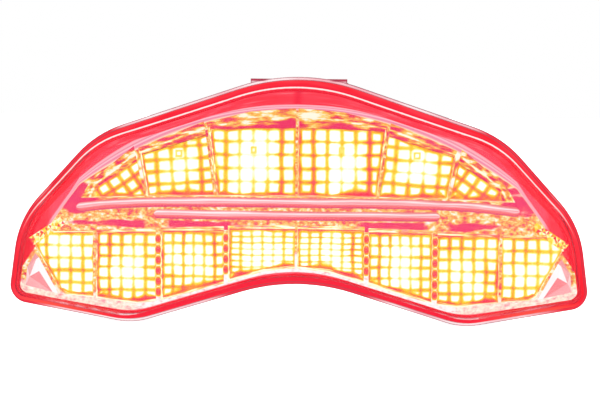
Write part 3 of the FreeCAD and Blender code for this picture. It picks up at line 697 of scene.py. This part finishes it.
def rubber_material(name):
    material, shader = new_material(name, (0.022, 0.022, 0.023), 0.72, Specular_IOR_Level=0.35)
    dust = noise_field(shader, (220.0, 220.0, 220.0), 4.0)
    vary(shader, (0.015, 0.015, 0.016), (0.042, 0.041, 0.040), dust)
    add_bump(shader, dust, 0.3, 0.1, round_edges=0.4)
    return material


def metal_material(name, dark, light, rough):
    material, shader = new_material(name, light, rough, 1.0)
    marks = noise_field(shader, (900.0, 60.0, 900.0), 4.0)
    vary(shader, dark, light, marks)
    vary_roughness(shader, rough * 0.75, rough * 1.35, marks)
    add_bump(shader, marks, 0.12, 0.05, round_edges=0.2)
    return material


def plastic_material(name, dark, light, rough):
    material, shader = new_material(name, light, rough)
    cloud = noise_field(shader, (300.0, 300.0, 300.0), 3.0)
    vary(shader, dark, light, cloud)
    add_bump(shader, cloud, 0.15, 0.08, round_edges=0.2)
    return material


def board_material():
    """Green solder mask over faint copper tracks."""
    material, shader = new_material("board", (0.01, 0.10, 0.035), 0.28, Coat_Weight=0.4)
    tracks = node(shader, "ShaderNodeTexBrick", Scale=1.0)
    tracks.inputs["Brick Width"].default_value = 6.0 * MM
    tracks.inputs["Row Height"].default_value = 1.8 * MM
    tracks.inputs["Mortar Size"].default_value = 0.25 * MM
    turned = node(shader, "ShaderNodeMapping")
    turned.inputs["Rotation"].default_value = (math.radians(90.0), 0.0, 0.0)
    link(position(shader), turned.inputs["Vector"])
    link(turned.outputs["Vector"], tracks.inputs["Vector"])
    green = ramp(tracks.outputs["Fac"], [(0.2, (0.008, 0.09, 0.03)), (0.8, (0.02, 0.19, 0.07))])
    link(green, shader.inputs["Base Color"])
    return material


def led_material():
    """A cast dome over a lit chip."""
    material, shader = new_material("led", (1.0, 0.35, 0.25), 0.1, Coat_Weight=0.5)
    cloud = noise_field(shader, (400.0, 400.0, 400.0), 2.0)
    vary(shader, (0.9, 0.2, 0.12), (1.0, 0.45, 0.3), cloud)
    glow(shader, (1.0, 0.2, 0.08), 1.5)
    return material


# ---- Camera, light and floor ----


def make_camera():
    direction = Vector((
        math.sin(VIEW_AZIMUTH) * math.cos(VIEW_ELEVATION),
        -math.cos(VIEW_AZIMUTH) * math.cos(VIEW_ELEVATION),
        math.sin(VIEW_ELEVATION),
    ))
    data = bpy.data.cameras.new("camera")
    data.sensor_width = SENSOR
    data.lens = SENSOR * VIEW_DISTANCE / FRAME_WIDTH
    data.clip_start = 0.01
    camera = bpy.data.objects.new("camera", data)
    turn = (-direction).to_track_quat("-Z", "Y").to_matrix().to_4x4()
    roll = Matrix.Rotation(VIEW_ROLL, 4, "Z")
    camera.matrix_world = Matrix.Translation(FRAME_CENTRE + direction * VIEW_DISTANCE) @ turn @ roll
    bpy.context.scene.collection.objects.link(camera)
    bpy.context.scene.camera = camera


def make_light(name, place, aim, size, energy):
    data = bpy.data.lights.new(name, "AREA")
    data.shape = "RECTANGLE"
    data.size, data.size_y = size
    data.energy = energy
    lamp = bpy.data.objects.new(name, data)
    lamp.location = place
    lamp.rotation_euler = (Vector(aim) - Vector(place)).to_track_quat("-Z", "Y").to_euler()
    bpy.context.scene.collection.objects.link(lamp)


def make_studio():
    scene = bpy.context.scene
    scene.view_settings.view_transform = "Standard"
    world = bpy.data.worlds.new("studio")
    world.use_nodes = True
    background = world.node_tree.nodes["Background"]
    background.inputs["Color"].default_value = (1.0, 1.0, 1.0, 1.0)
    background.inputs["Strength"].default_value = 1.0
    scene.world = world
    make_light("key", (-0.35, -0.9, 0.85), (0, 0, 0), (0.7, 0.25), 8.0)
    make_light("fill", (0.8, -0.6, 0.35), (0, 0, 0), (0.3, 0.6), 4.0)
    make_light("back", (0.0, 0.9, 0.7), (0, 0, 0), (0.8, 0.5), 6.0)


def make_floor():
    material, shader = new_material("floor", (0.6, 0.6, 0.6), 0.7, Specular_IOR_Level=0.1)
    grain = noise_field(shader, (900.0, 900.0, 900.0), 3.0)
    vary(shader, (0.58, 0.58, 0.58), (0.62, 0.62, 0.62), grain)
    glow(shader, (1.0, 1.0, 1.0), 0.95)
    z = cad_bounds[0][2]
    half = 4.0
    corners = [(-half, -half, z), (half, -half, z), (half, half, z), (-half, half, z)]
    mesh = new_mesh("floor", corners, [(0, 1, 2, 3)])
    mesh.materials.append(material)
    floor = bpy.data.objects.new("floor", mesh)
    bpy.context.scene.collection.objects.link(floor)


# ---- Piece helpers ----


def put(name, *materials):
    """Gives a CAD node its materials."""
    slots = NODES[name].data.materials
    slots.clear()
    for material in materials:
        slots.append(material)


def add_piece(name, mesh, material, replaced=()):
    mesh.materials.append(material)
    piece = bpy.data.objects.new(name, mesh)
    bpy.context.scene.collection.objects.link(piece)
    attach(piece, ROOT)
    if replaced:
        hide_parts(*replaced)


def tree_of(name):
    """A search tree over a CAD node's surface."""
    mesh = NODES[name].data
    return BVHTree.FromPolygons(
        [v.co.copy() for v in mesh.vertices], [tuple(p.vertices) for p in mesh.polygons]
    )


def new_mesh(name, points, faces, attribute="", values=(), domain="POINT"):
    """A mesh, with a number for each point or face in a named attribute."""
    mesh = bpy.data.meshes.new(name)
    mesh.from_pydata(points, [], faces)
    if attribute:
        mesh.attributes.new(attribute, "FLOAT", domain).data.foreach_set("value", values)
    return mesh


def grid_faces(rows, steps):
    """The faces of a sheet whose points run row by row, with so many steps along each row."""
    ring = steps + 1
    starts = [j * ring + i for j in range(rows) for i in range(steps)]
    return [(a, a + 1, a + ring + 1, a + ring) for a in starts]


def open_shape(mesh, merging=0.0):
    """A bmesh of the mesh, with points closer than a distance merged."""
    shape = bmesh.new()
    shape.from_mesh(mesh)
    if merging:
        bmesh.ops.remove_doubles(shape, verts=shape.verts, dist=merging)
    return shape


def keep_shape(shape, mesh):
    """Writes a bmesh back into its mesh."""
    shape.to_mesh(mesh)
    shape.free()


def smooth(mesh, angle):
    """Smooth shading, with edges sharper than an angle in degrees kept."""
    mesh.polygons.foreach_set("use_smooth", [True] * len(mesh.polygons))
    mesh.set_sharp_from_angle(angle=math.radians(angle))


def step(low, high, value):
    t = min(max((value - low) / (high - low), 0.0), 1.0)
    return t * t * (3.0 - 2.0 * t)


# ---- Lens and bezel ----


def dress_lens():
    """Face, side and flange of the lens each get their own finish."""
    put("lens", lens_face_material(), lens_side_material(), lens_flange_material())
    for polygon in NODES["lens"].data.polygons:
        level = abs(polygon.normal.y) > LENS_FACING and abs(polygon.normal.z) < LENS_TILT
        if polygon.center.y > FLANGE_FRONT_Y:
            polygon.material_index = 2
        elif level and polygon.center.y < LENS_FACE_Y:
            polygon.material_index = 0
        else:
            polygon.material_index = 1


def dress_housing(material):
    """Black plastic, apart from the front of the rim, which only shows inside the lit lens and takes painted
    red light.
    """
    put("housing", material, rim_glow_material())
    for polygon in NODES["housing"].data.polygons:
        if polygon.normal.y < -FACING and polygon.center.y < RIM_FRONT_Y:
            polygon.material_index = 1


def dress_bezel():
    """The front skin, the cell walls and the outer flank each get their own finish."""
    put("reflector_bezel", bezel_skin_material(), cell_wall_material(), bezel_flank_material())
    tree = tree_of("reflector_bezel")
    for polygon in NODES["reflector_bezel"].data.polygons:
        normal, centre = polygon.normal, polygon.center
        if abs(normal.y) > FACING:
            polygon.material_index = 0
            continue
        sideways = Vector((normal.x, 0.0, normal.z)).normalized()
        hit = tree.ray_cast(centre + sideways * 0.2 * MM, sideways, FAR)[0]
        polygon.material_index = 1 if hit else 2


# ---- Optics ----


def front_loop(name):
    """The outline of a plate's front face as (x, z) points in order, and the depth of that face."""
    mesh = NODES[name].data
    count = {}
    for polygon in mesh.polygons:
        if polygon.normal.y < -FACING:
            for key in polygon.edge_keys:
                count[key] = count.get(key, 0) + 1
    beside = {}
    for (a, b), uses in count.items():
        if uses == 1:
            beside.setdefault(a, []).append(b)
            beside.setdefault(b, []).append(a)
    loop = [min(beside)]
    previous, current = None, loop[0]
    while True:
        following = [v for v in beside[current] if v != previous][0]
        if following == loop[0]:
            break
        loop.append(following)
        previous, current = current, following
    places = [mesh.vertices[v].co for v in loop]
    return [(p.x, p.z) for p in places], places[0].y


def extent(loop):
    """The lowest and highest x, then the lowest and highest z, of an outline."""
    across, up = [x for x, z in loop], [z for x, z in loop]
    return min(across), max(across), min(up), max(up)


def is_inside(x, z, loop):
    inside = False
    for i, (bx, bz) in enumerate(loop):
        ax, az = loop[i - 1]
        if (az > z) != (bz > z) and x < ax + (z - az) * (bx - ax) / (bz - az):
            inside = not inside
    return inside


def nearest_on(x, z, loop):
    """The closest point of the loop, and how far away it is."""
    best = None
    for i, (bx, bz) in enumerate(loop):
        ax, az = loop[i - 1]
        length = (bx - ax) ** 2 + (bz - az) ** 2
        t = ((x - ax) * (bx - ax) + (z - az) * (bz - az)) / length
        t = min(max(t, 0.0), 1.0)
        px, pz = ax + t * (bx - ax), az + t * (bz - az)
        gap = math.hypot(px - x, pz - z)
        if best is None or gap < best[2]:
            best = (px, pz, gap)
    return best


def light_at(x, z, middle, settings):
    """How strongly the LED behind lights a point of the cell's plate."""
    ambient, peak, spread_x, spread_z = settings[3:]
    dx, dz = (x - middle[0]) / (spread_x * MM), (z - middle[1]) / (spread_z * MM)
    drift = 0.42 * noise.noise(Vector((x, z, 0.2)) * 75.0)
    return ambient + drift + peak * math.exp(-(dx**4) - dz**4)


def groove_level(light):
    """The lit level at the bottom of a groove."""
    return 0.30 + 0.56 * min(max(light, -0.4), 1.0)


def pillow_pattern(loop, settings, seed, mark):
    """A function of (x, z) for the lit level and the height of a plate's pillows, both from 0 to 1."""
    dice = random.Random(seed)
    low_x, high_x, low_z, high_z = extent(loop)
    middle = ((low_x + high_x) / 2, (low_z + high_z) / 2)
    width = (high_x - low_x) / max(2, round((high_x - low_x) / (settings[0] * MM)))
    height = (high_z - low_z) / max(2, round((high_z - low_z) / (settings[1] * MM)))
    turn = math.radians(settings[2]) * (1.0 if middle[0] > 0 else -1.0)
    cosine, sine = math.cos(turn), math.sin(turn)
    column_light = [dice.choice([-0.34, -0.12, 0.0, 0.08]) for k in range(GROOVES)]
    row_light = [dice.choice([-0.16, 0.0, 0.10, 0.22]) for k in range(GROOVES)]

    def sample(x, z):
        dx, dz = x - middle[0], z - middle[1]
        across = dx * cosine - dz * sine + (middle[0] - low_x)
        up = dx * sine + dz * cosine + (middle[1] - low_z)
        wander = 0.45 * MM * noise.noise(Vector((x, z, 0.5)) * 110.0)
        across, up = (across + wander) / width, (up - wander) / height
        column, row = math.floor(across), math.floor(up)
        u, v = 2.0 * (across - column) - 1.0, 2.0 * (up - row) - 1.0
        light = light_at(x, z, middle, settings)
        upright = groove_level(light + column_light[math.floor(across + 0.5) % GROOVES])
        level_way = groove_level(light + row_light[math.floor(up + 0.5) % GROOVES])
        start = 0.24 + 0.36 * min(max(light, 0.0), 1.0)
        corner = (abs(u) ** 3 + abs(v) ** 3) ** (1.0 / 3.0)
        dark = max(
            (1.0 - upright) * step(start, 0.95, abs(u)),
            (1.0 - level_way) * step(start, 0.95, abs(v)),
            (1.14 - min(upright, level_way)) * step(start + 0.20, 1.14, corner),
        )
        level = 1.0 - dark
        ring = max(abs(dx), abs(dz - MARK_RISE))
        if mark and MARK_INNER < ring < MARK_OUTER:
            level = min(level, MARK_LEVEL)
        return level, max(0.0, 1.0 - 0.5 * (u * u + v * v))

    return sample


def make_optic(name, settings, seed, mark, material):
    """A pillowed plate in place of a plain one: a fine sheet of domes cut to the plate's outline."""
    loop, front_y = front_loop(name)
    sample = pillow_pattern(loop, settings, seed, mark)
    low_x, high_x, low_z, high_z = extent(loop)
    columns, rows = round((high_x - low_x) / FINE), round((high_z - low_z) / FINE)
    place, inside = {}, {}
    for i in range(columns + 1):
        for j in range(rows + 1):
            x, z = low_x + (high_x - low_x) * i / columns, low_z + (high_z - low_z) * j / rows
            place[i, j] = (x, z)
            inside[i, j] = is_inside(x, z, loop)
    points, levels, index, faces = [], [], {}, []
    for i in range(columns):
        for j in range(rows):
            corners = [(i, j), (i + 1, j), (i + 1, j + 1), (i, j + 1)]
            if not any(inside[c] for c in corners):
                continue
            faces.append([index.setdefault(c, len(index)) for c in corners])
    for corner in index:
        x, z = place[corner]
        edge_x, edge_z, gap = nearest_on(x, z, loop)
        if not inside[corner]:
            x, z, gap = edge_x, edge_z, 0.0
        level, bulge = sample(x, z)
        # Painted shade along the plate's outline, wider and darker along its lower edges.
        low_edge = 1.0 if edge_z < z - 0.7 * gap else 0.0
        edge_level = 0.44 - 0.30 * low_edge + 0.5 * noise.noise(Vector((x, z, 0.9)) * 140.0)
        unrest = noise.noise(Vector((x, z, 0.4)) * 90.0)
        width = 1.4 + 1.4 * low_edge + (1.6 + 2.4 * low_edge) * unrest
        rim = step(0.0, max(width, 0.3) * MM, gap)
        levels.append(level * rim + min(level, edge_level) * (1.0 - rim))
        points.append((x, front_y - PILLOW_HEIGHT * bulge * step(0.0, 1.6 * MM, gap), z))
    mesh = new_mesh(name + "_pillows", points, faces, "lit", levels)
    close_back(mesh, front_y + PLATE_THICKNESS)
    smooth(mesh, 40.0)
    add_piece(name + "_pillows", mesh, material, [name])


def close_back(mesh, back_y):
    """Gives an open front sheet its side walls and a back."""
    shape = open_shape(mesh, 0.01 * MM)
    rim = [e for e in shape.edges if e.is_boundary]
    made = bmesh.ops.extrude_edge_only(shape, edges=rim)["geom"]
    for vertex in made:
        if isinstance(vertex, bmesh.types.BMVert):
            vertex.co.y = back_y
    back_edges = [e for e in made if isinstance(e, bmesh.types.BMEdge) and e.is_boundary]
    bmesh.ops.triangle_fill(shape, edges=back_edges, use_beauty=True)
    bmesh.ops.recalc_face_normals(shape, faces=shape.faces)
    keep_shape(shape, mesh)


def make_optics(material):
    seed = 11
    for row, settings in (("upper", UPPER_PILLOWS), ("lower", LOWER_PILLOWS)):
        ordered = list(reversed(settings)) + list(settings)
        for place, setting in enumerate(ordered):
            seed += 1
            mark = row == "upper" and 0 < place < len(ordered) - 1
            make_optic(row + "_optic_" + str(place + 1), setting, seed, mark, material)


# ---- Beads and facets on the bezel ----


BEAD_PITCH = 5.4 * MM
BEAD_RISE = 0.9 * MM
BEAD_DEPTH = 1.0 * MM
# Facets stand a little proud of the bezel. Where no surface lies behind a corner, it takes this depth.
FACET_LIFT = 0.15
FACET_DEPTH = 1.2 * MM
FACET_SPARE_Y = -45.0 * MM

# The folded star beside the outermost cell: its corners' x, z and lift in millimetres, then its faces,
# each with its lit level.
STAR_CORNERS = [
    (125.6, -26.6, 0.5),
    (116.0, -44.2, 0.1),
    (118.8, -43.4, 0.3),
    (125.3, -33.2, 1.5),
    (130.4, -36.2, 0.3),
    (126.9, -27.6, 0.7),
    (131.6, -31.5, 0.0),
    (132.6, -40.6, 0.0),
    (127.4, -24.6, 0.0),
]
STAR_FACES = [
    ((0, 1, 3), 1.0),
    ((1, 2, 3), 1.0),
    ((0, 3, 5), 0.95),
    ((3, 4, 5), 0.95),
    ((5, 4, 6), 0.42),
    ((8, 5, 6), 0.30),
    ((0, 5, 8), 0.30),
    ((3, 2, 4), 0.12),
    ((2, 7, 4), 0.40),
    ((4, 7, 6), 0.62),
]

# The strip of pyramids at each tip: its ends and width in millimetres, and its pyramids along and across.
STRIP_START = Vector((113.5, -8.4))
STRIP_END = Vector((129.4, -19.0))
STRIP_WIDTH = 4.2
STRIP_COUNT = 8
STRIP_ROWS = 2
PYRAMID_LIFT = 0.8
# Painted light levels, one drawn at random for each pyramid face.
PYRAMID_LEVELS = [0.05, 0.3, 0.45, 0.6, 0.7, 0.76, 0.82]


def front_of(tree, x, z):
    """Where the surface is first met at x, z, coming from the front."""
    hit = tree.ray_cast(Vector((x, AHEAD_Y, z)), Vector((0, 1, 0)), FAR)[0]
    return hit.y if hit else None


def make_bead_strip(name, tree, x, low_z, high_z, half_width, material):
    """A column of half-round beads on the land between two cells."""
    beads = max(3, round((high_z - low_z) / BEAD_PITCH))
    steps, around = beads * 12, 10
    points, levels = [], []
    for j in range(steps + 1):
        z = low_z + (high_z - low_z) * j / steps
        swell = abs(math.sin(math.pi * beads * j / steps)) ** 0.6
        y = front_of(tree, x, z) or front_of(tree, x, (low_z + high_z) / 2)
        for i in range(around + 1):
            t = 2.0 * i / around - 1.0
            reach = half_width * (0.45 + 0.55 * swell)
            points.append((x + t * reach, y - BEAD_RISE * swell * math.sqrt(1.0 - 0.98 * t * t), z))
            # Painted light bright at the beads' edges and between them, painted shade deep red on their
            # crowns.
            levels.append(0.9 - 0.88 * swell * (1.0 - t**6))
    mesh = new_mesh(name, points, grid_faces(steps, around), "lit", levels)
    thicken(mesh, BEAD_DEPTH)
    smooth(mesh, 50.0)
    add_piece(name, mesh, material)


def make_beads(material):
    tree = tree_of("reflector_bezel")
    for place in (2, 3, 5, 6):
        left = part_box("lower_optic_" + str(place))
        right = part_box("lower_optic_" + str(place + 1))
        x = (left[1][0] + right[0][0]) / 2
        half_width = (right[0][0] - left[1][0]) / 2 + 0.1 * MM
        low_z = max(left[0][2], right[0][2]) + (3.0 if place in (3, 5) else 1.0) * MM
        high_z = min(left[1][2], right[1][2]) + 1.0 * MM
        make_bead_strip("divider_beads_" + str(place), tree, x, low_z, high_z, half_width, material)


def make_faceted(name, tree, corners, faces, levels, material):
    """Flat facets on the bezel. Corners are x, z and a lift above its surface, in millimetres."""
    points = []
    for x, z, lift in corners:
        y = front_of(tree, x * MM, z * MM)
        y = FACET_SPARE_Y if y is None else y
        points.append(Vector((x * MM, y - (FACET_LIFT + lift) * MM, z * MM)))
    mesh = new_mesh(name, points, faces, "lit", levels, "FACE")
    shape = open_shape(mesh)
    bmesh.ops.recalc_face_normals(shape, faces=shape.faces)
    if sum(f.normal.y * f.calc_area() for f in shape.faces) > 0.0:
        bmesh.ops.reverse_faces(shape, faces=shape.faces)
    keep_shape(shape, mesh)
    thicken(mesh, FACET_DEPTH)
    add_piece(name, mesh, material)


def make_corner_facets(material):
    """A folded star of flat facets in each lower corner, beside the outermost cell."""
    tree = tree_of("reflector_bezel")
    faces = [face for face, level in STAR_FACES]
    levels = [level for face, level in STAR_FACES]
    for name, side in (("corner_facets_left", -1), ("corner_facets_right", 1)):
        corners = [(side * x, z, lift) for x, z, lift in STAR_CORNERS]
        make_faceted(name, tree, corners, faces, levels, material)


def make_tip_facets(material):
    """A strip of small diamond-cut pyramids at each end, between the bars and the outermost cell."""
    tree = tree_of("reflector_bezel")
    along = (STRIP_END - STRIP_START).normalized()
    sideways = Vector((-along.y, along.x))

    def spot(i, j):
        """A place on the strip, in steps along it and across it."""
        middle = STRIP_START.lerp(STRIP_END, i / STRIP_COUNT)
        return middle + sideways * STRIP_WIDTH * (j / STRIP_ROWS - 0.5)

    for name, side in (("tip_facets_left", -1), ("tip_facets_right", 1)):
        dice = random.Random(7 + side)
        grid = [spot(i, j) for j in range(STRIP_ROWS + 1) for i in range(STRIP_COUNT + 1)]
        corners = [(side * place.x, place.y, 0.0) for place in grid]
        faces, levels = [], []
        for j in range(STRIP_ROWS):
            for i in range(STRIP_COUNT):
                tip, place = len(corners), spot(i + 0.5, j + 0.5)
                corners.append((side * place.x, place.y, PYRAMID_LIFT))
                a = j * (STRIP_COUNT + 1) + i
                ring = [a, a + 1, a + STRIP_COUNT + 2, a + STRIP_COUNT + 1]
                for k in range(4):
                    faces.append((ring[k], ring[(k + 1) % 4], tip))
                    levels.append(dice.choice(PYRAMID_LEVELS))
        make_faceted(name, tree, corners, faces, levels, material)


# ---- Trim bars ----


TRIM_DEPTH = 2.0 * MM
TRIM_ROUND = 1.3 * MM
FLUTE_DEPTH = 0.22 * MM


def make_trim(name, material, flutes):
    """A fluted bar swept along the plain one: its outline and depth are read from the CAD surface."""
    tree = tree_of(name)
    low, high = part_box(name)
    stations, rows = 160, 26
    points, band = [], []
    for i in range(stations + 1):
        # Stations crowd together towards the round ends.
        t = -math.cos(math.pi * i / stations)
        x = (low[0] + high[0]) / 2 + (high[0] - low[0]) / 2 * t * 0.9995
        bottom, top = column_of(tree, x, low, high)
        for j in range(rows + 1):
            s = j / rows
            z = bottom + (top - bottom) * s
            # The look from the front stays just inside the bar's edges.
            front = front_of(tree, x, bottom + (top - bottom) * (0.03 + 0.94 * s)) or low[1]
            side = 2 * s - 1
            drop = TRIM_ROUND * (1 - math.sqrt(max(0.0, 1 - side**2 * 0.98)))
            ridge = FLUTE_DEPTH * (0.5 + 0.5 * math.cos(2 * math.pi * flutes * s)) * (1 - side**4)
            points.append((x, front + drop + ridge, z))
            band.append(s)
    mesh = new_mesh(name + "_fluted", points, grid_faces(stations, rows), "band", band)
    thicken(mesh, TRIM_DEPTH)
    smooth(mesh, 50.0)
    add_piece(name + "_fluted", mesh, material, [name])


def column_of(tree, x, low, high):
    """The lowest and highest z of a bar at x."""
    found = []
    for start, way in ((low[2] - 0.01, 1), (high[2] + 0.01, -1)):
        best = None
        for k in range(30):
            y = low[1] + (high[1] - low[1]) * (k + 0.5) / 30
            hit = tree.ray_cast(Vector((x, y, start)), Vector((0, 0, way)), FAR)[0]
            if hit:
                best = hit.z if best is None else (min(best, hit.z) if way > 0 else max(best, hit.z))
        found.append(best if best is not None else (low[2] + high[2]) / 2)
    return found


def thicken(mesh, depth):
    """Closes an open front sheet with walls and a back that is the front moved backwards."""
    shape = open_shape(mesh, 0.005 * MM)
    everything = list(shape.faces) + list(shape.edges) + list(shape.verts)
    copied = bmesh.ops.duplicate(shape, geom=everything)["geom"]
    for item in copied:
        if isinstance(item, bmesh.types.BMVert):
            item.co.y += depth
    rims = [e for e in shape.edges if e.is_boundary]
    bmesh.ops.bridge_loops(shape, edges=rims)
    bmesh.ops.recalc_face_normals(shape, faces=shape.faces)
    keep_shape(shape, mesh)


# ---- Mounting studs ----

STUD_RADIUS = 3.0 * MM
STUD_LENGTH = 18.0 * MM
SHOULDER_RADIUS = 3.5 * MM
HEAD_BACK_Y = -6.5 * MM
THREAD_PITCH = 1.0 * MM
THREAD_DEPTH = 0.55 * MM
THREAD_START = 1.2 * MM
TIP_CHAMFER = 0.8 * MM
SEAT_STEP = 0.1 * MM
STUD_SIDES = 48
THREAD_RINGS = 150


def thread_radius(along, angle):
    """The threaded shank's radius at a distance from the seat, with its run-out and chamfered tip."""
    phase = (along / THREAD_PITCH - angle / math.tau) % 1.0
    cut = 1.0 - abs(2.0 * phase - 1.0)
    fade = step(THREAD_START, THREAD_START + THREAD_PITCH, along)
    chamfer = max(0.0, along - (STUD_LENGTH - TIP_CHAMFER))
    return STUD_RADIUS - THREAD_DEPTH * fade * min(1.0, 1.25 * cut) - 0.9 * chamfer


def hexagon_radius(flat, angle):
    """How far out a hexagon reaches at an angle, with its flats at a distance from its middle."""
    turn = (angle + math.pi / 6) % (math.pi / 3) - math.pi / 6
    return flat / math.cos(turn)


def stud_ring(x, z, y, radius_at):
    """A ring of points round a stud's axis, at a radius that depends on the angle."""
    points = []
    for k in range(STUD_SIDES):
        angle = math.tau * k / STUD_SIDES
        radius = radius_at(angle)
        points.append((x + radius * math.cos(angle), y, z + radius * math.sin(angle)))
    return points


def make_stud(name, material):
    """A hex head, a plain shoulder and a threaded shank, in place of the plain stud."""
    low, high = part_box(name)
    x, z = (low[0] + high[0]) / 2, (low[2] + high[2]) / 2
    flat = min(high[2] - low[2], high[0] - low[0]) / 2
    head = [
        (low[1], 0.0),
        (low[1], 0.86),
        (low[1] + 0.4 * MM, 1.0),
        (HEAD_BACK_Y - SEAT_STEP, 1.0),
        (HEAD_BACK_Y, 0.94),
    ]
    shoulder = [
        (HEAD_BACK_Y, SHOULDER_RADIUS),
        (-SEAT_STEP, SHOULDER_RADIUS),
        (0.0, SHOULDER_RADIUS - SEAT_STEP),
    ]
    points = []
    for y, share in head:
        points += stud_ring(x, z, y, lambda angle: hexagon_radius(share * flat, angle))
    for y, radius in shoulder:
        points += stud_ring(x, z, y, lambda angle: radius)
    for j in range(THREAD_RINGS + 1):
        along = STUD_LENGTH * j / THREAD_RINGS
        points += stud_ring(x, z, along, lambda angle: thread_radius(along, angle))
    faces = []
    for j in range(len(points) // STUD_SIDES - 1):
        for k in range(STUD_SIDES):
            a, b = j * STUD_SIDES + k, j * STUD_SIDES + (k + 1) % STUD_SIDES
            faces.append((a, b, b + STUD_SIDES, a + STUD_SIDES))
    faces.append(tuple(range(len(points) - STUD_SIDES, len(points))))
    mesh = new_mesh(name + "_threaded", points, faces)
    shape = open_shape(mesh, 0.002 * MM)
    bmesh.ops.recalc_face_normals(shape, faces=shape.faces)
    keep_shape(shape, mesh)
    smooth(mesh, 35.0)
    add_piece(name + "_threaded", mesh, material, [name])


# ---- Build ----


def dress_hardware():
    housing = housing_material()
    rubber = rubber_material("rubber")
    zinc = metal_material("zinc", (0.17, 0.17, 0.165), (0.34, 0.34, 0.325), 0.34)
    brass = metal_material("brass", (0.55, 0.38, 0.14), (0.85, 0.64, 0.30), 0.25)
    can = metal_material("capacitor_can", (0.55, 0.55, 0.57), (0.80, 0.80, 0.82), 0.22)
    epoxy = plastic_material("epoxy", (0.012, 0.012, 0.012), (0.03, 0.03, 0.03), 0.45)
    nylon = plastic_material("nylon", (0.72, 0.70, 0.62), (0.82, 0.80, 0.73), 0.4)
    membrane = plastic_material("membrane", (0.78, 0.78, 0.76), (0.9, 0.9, 0.88), 0.8)
    finishes = {
        "housing_black": housing,
        "rubber_black": rubber,
        "seal": rubber_material("seal"),
        "fastener_zinc": zinc,
        "spacer_brass": brass,
        "capacitor_can": can,
        "electronic_black": epoxy,
        "connector_white": nylon,
        "membrane_white": membrane,
        "board": board_material(),
        "led": led_material(),
    }
    for part in frame["record"]["subparts"]:
        if part["material_slot"] in finishes:
            put(part["node"], finishes[part["material_slot"]])
    dress_housing(housing)
    for name in ("mounting_stud_left", "mounting_stud_right"):
        make_stud(name, zinc)


make_camera()
make_studio()
make_floor()
dress_hardware()
dress_lens()
dress_bezel()
lit_optic = optic_material()
make_optics(lit_optic)
make_beads(lit_optic)
make_tip_facets(lit_optic)
make_corner_facets(corner_material())
trim = trim_material()
make_trim("upper_trim_bar", trim, 4)
make_trim("lower_trim_bar", trim, 4)
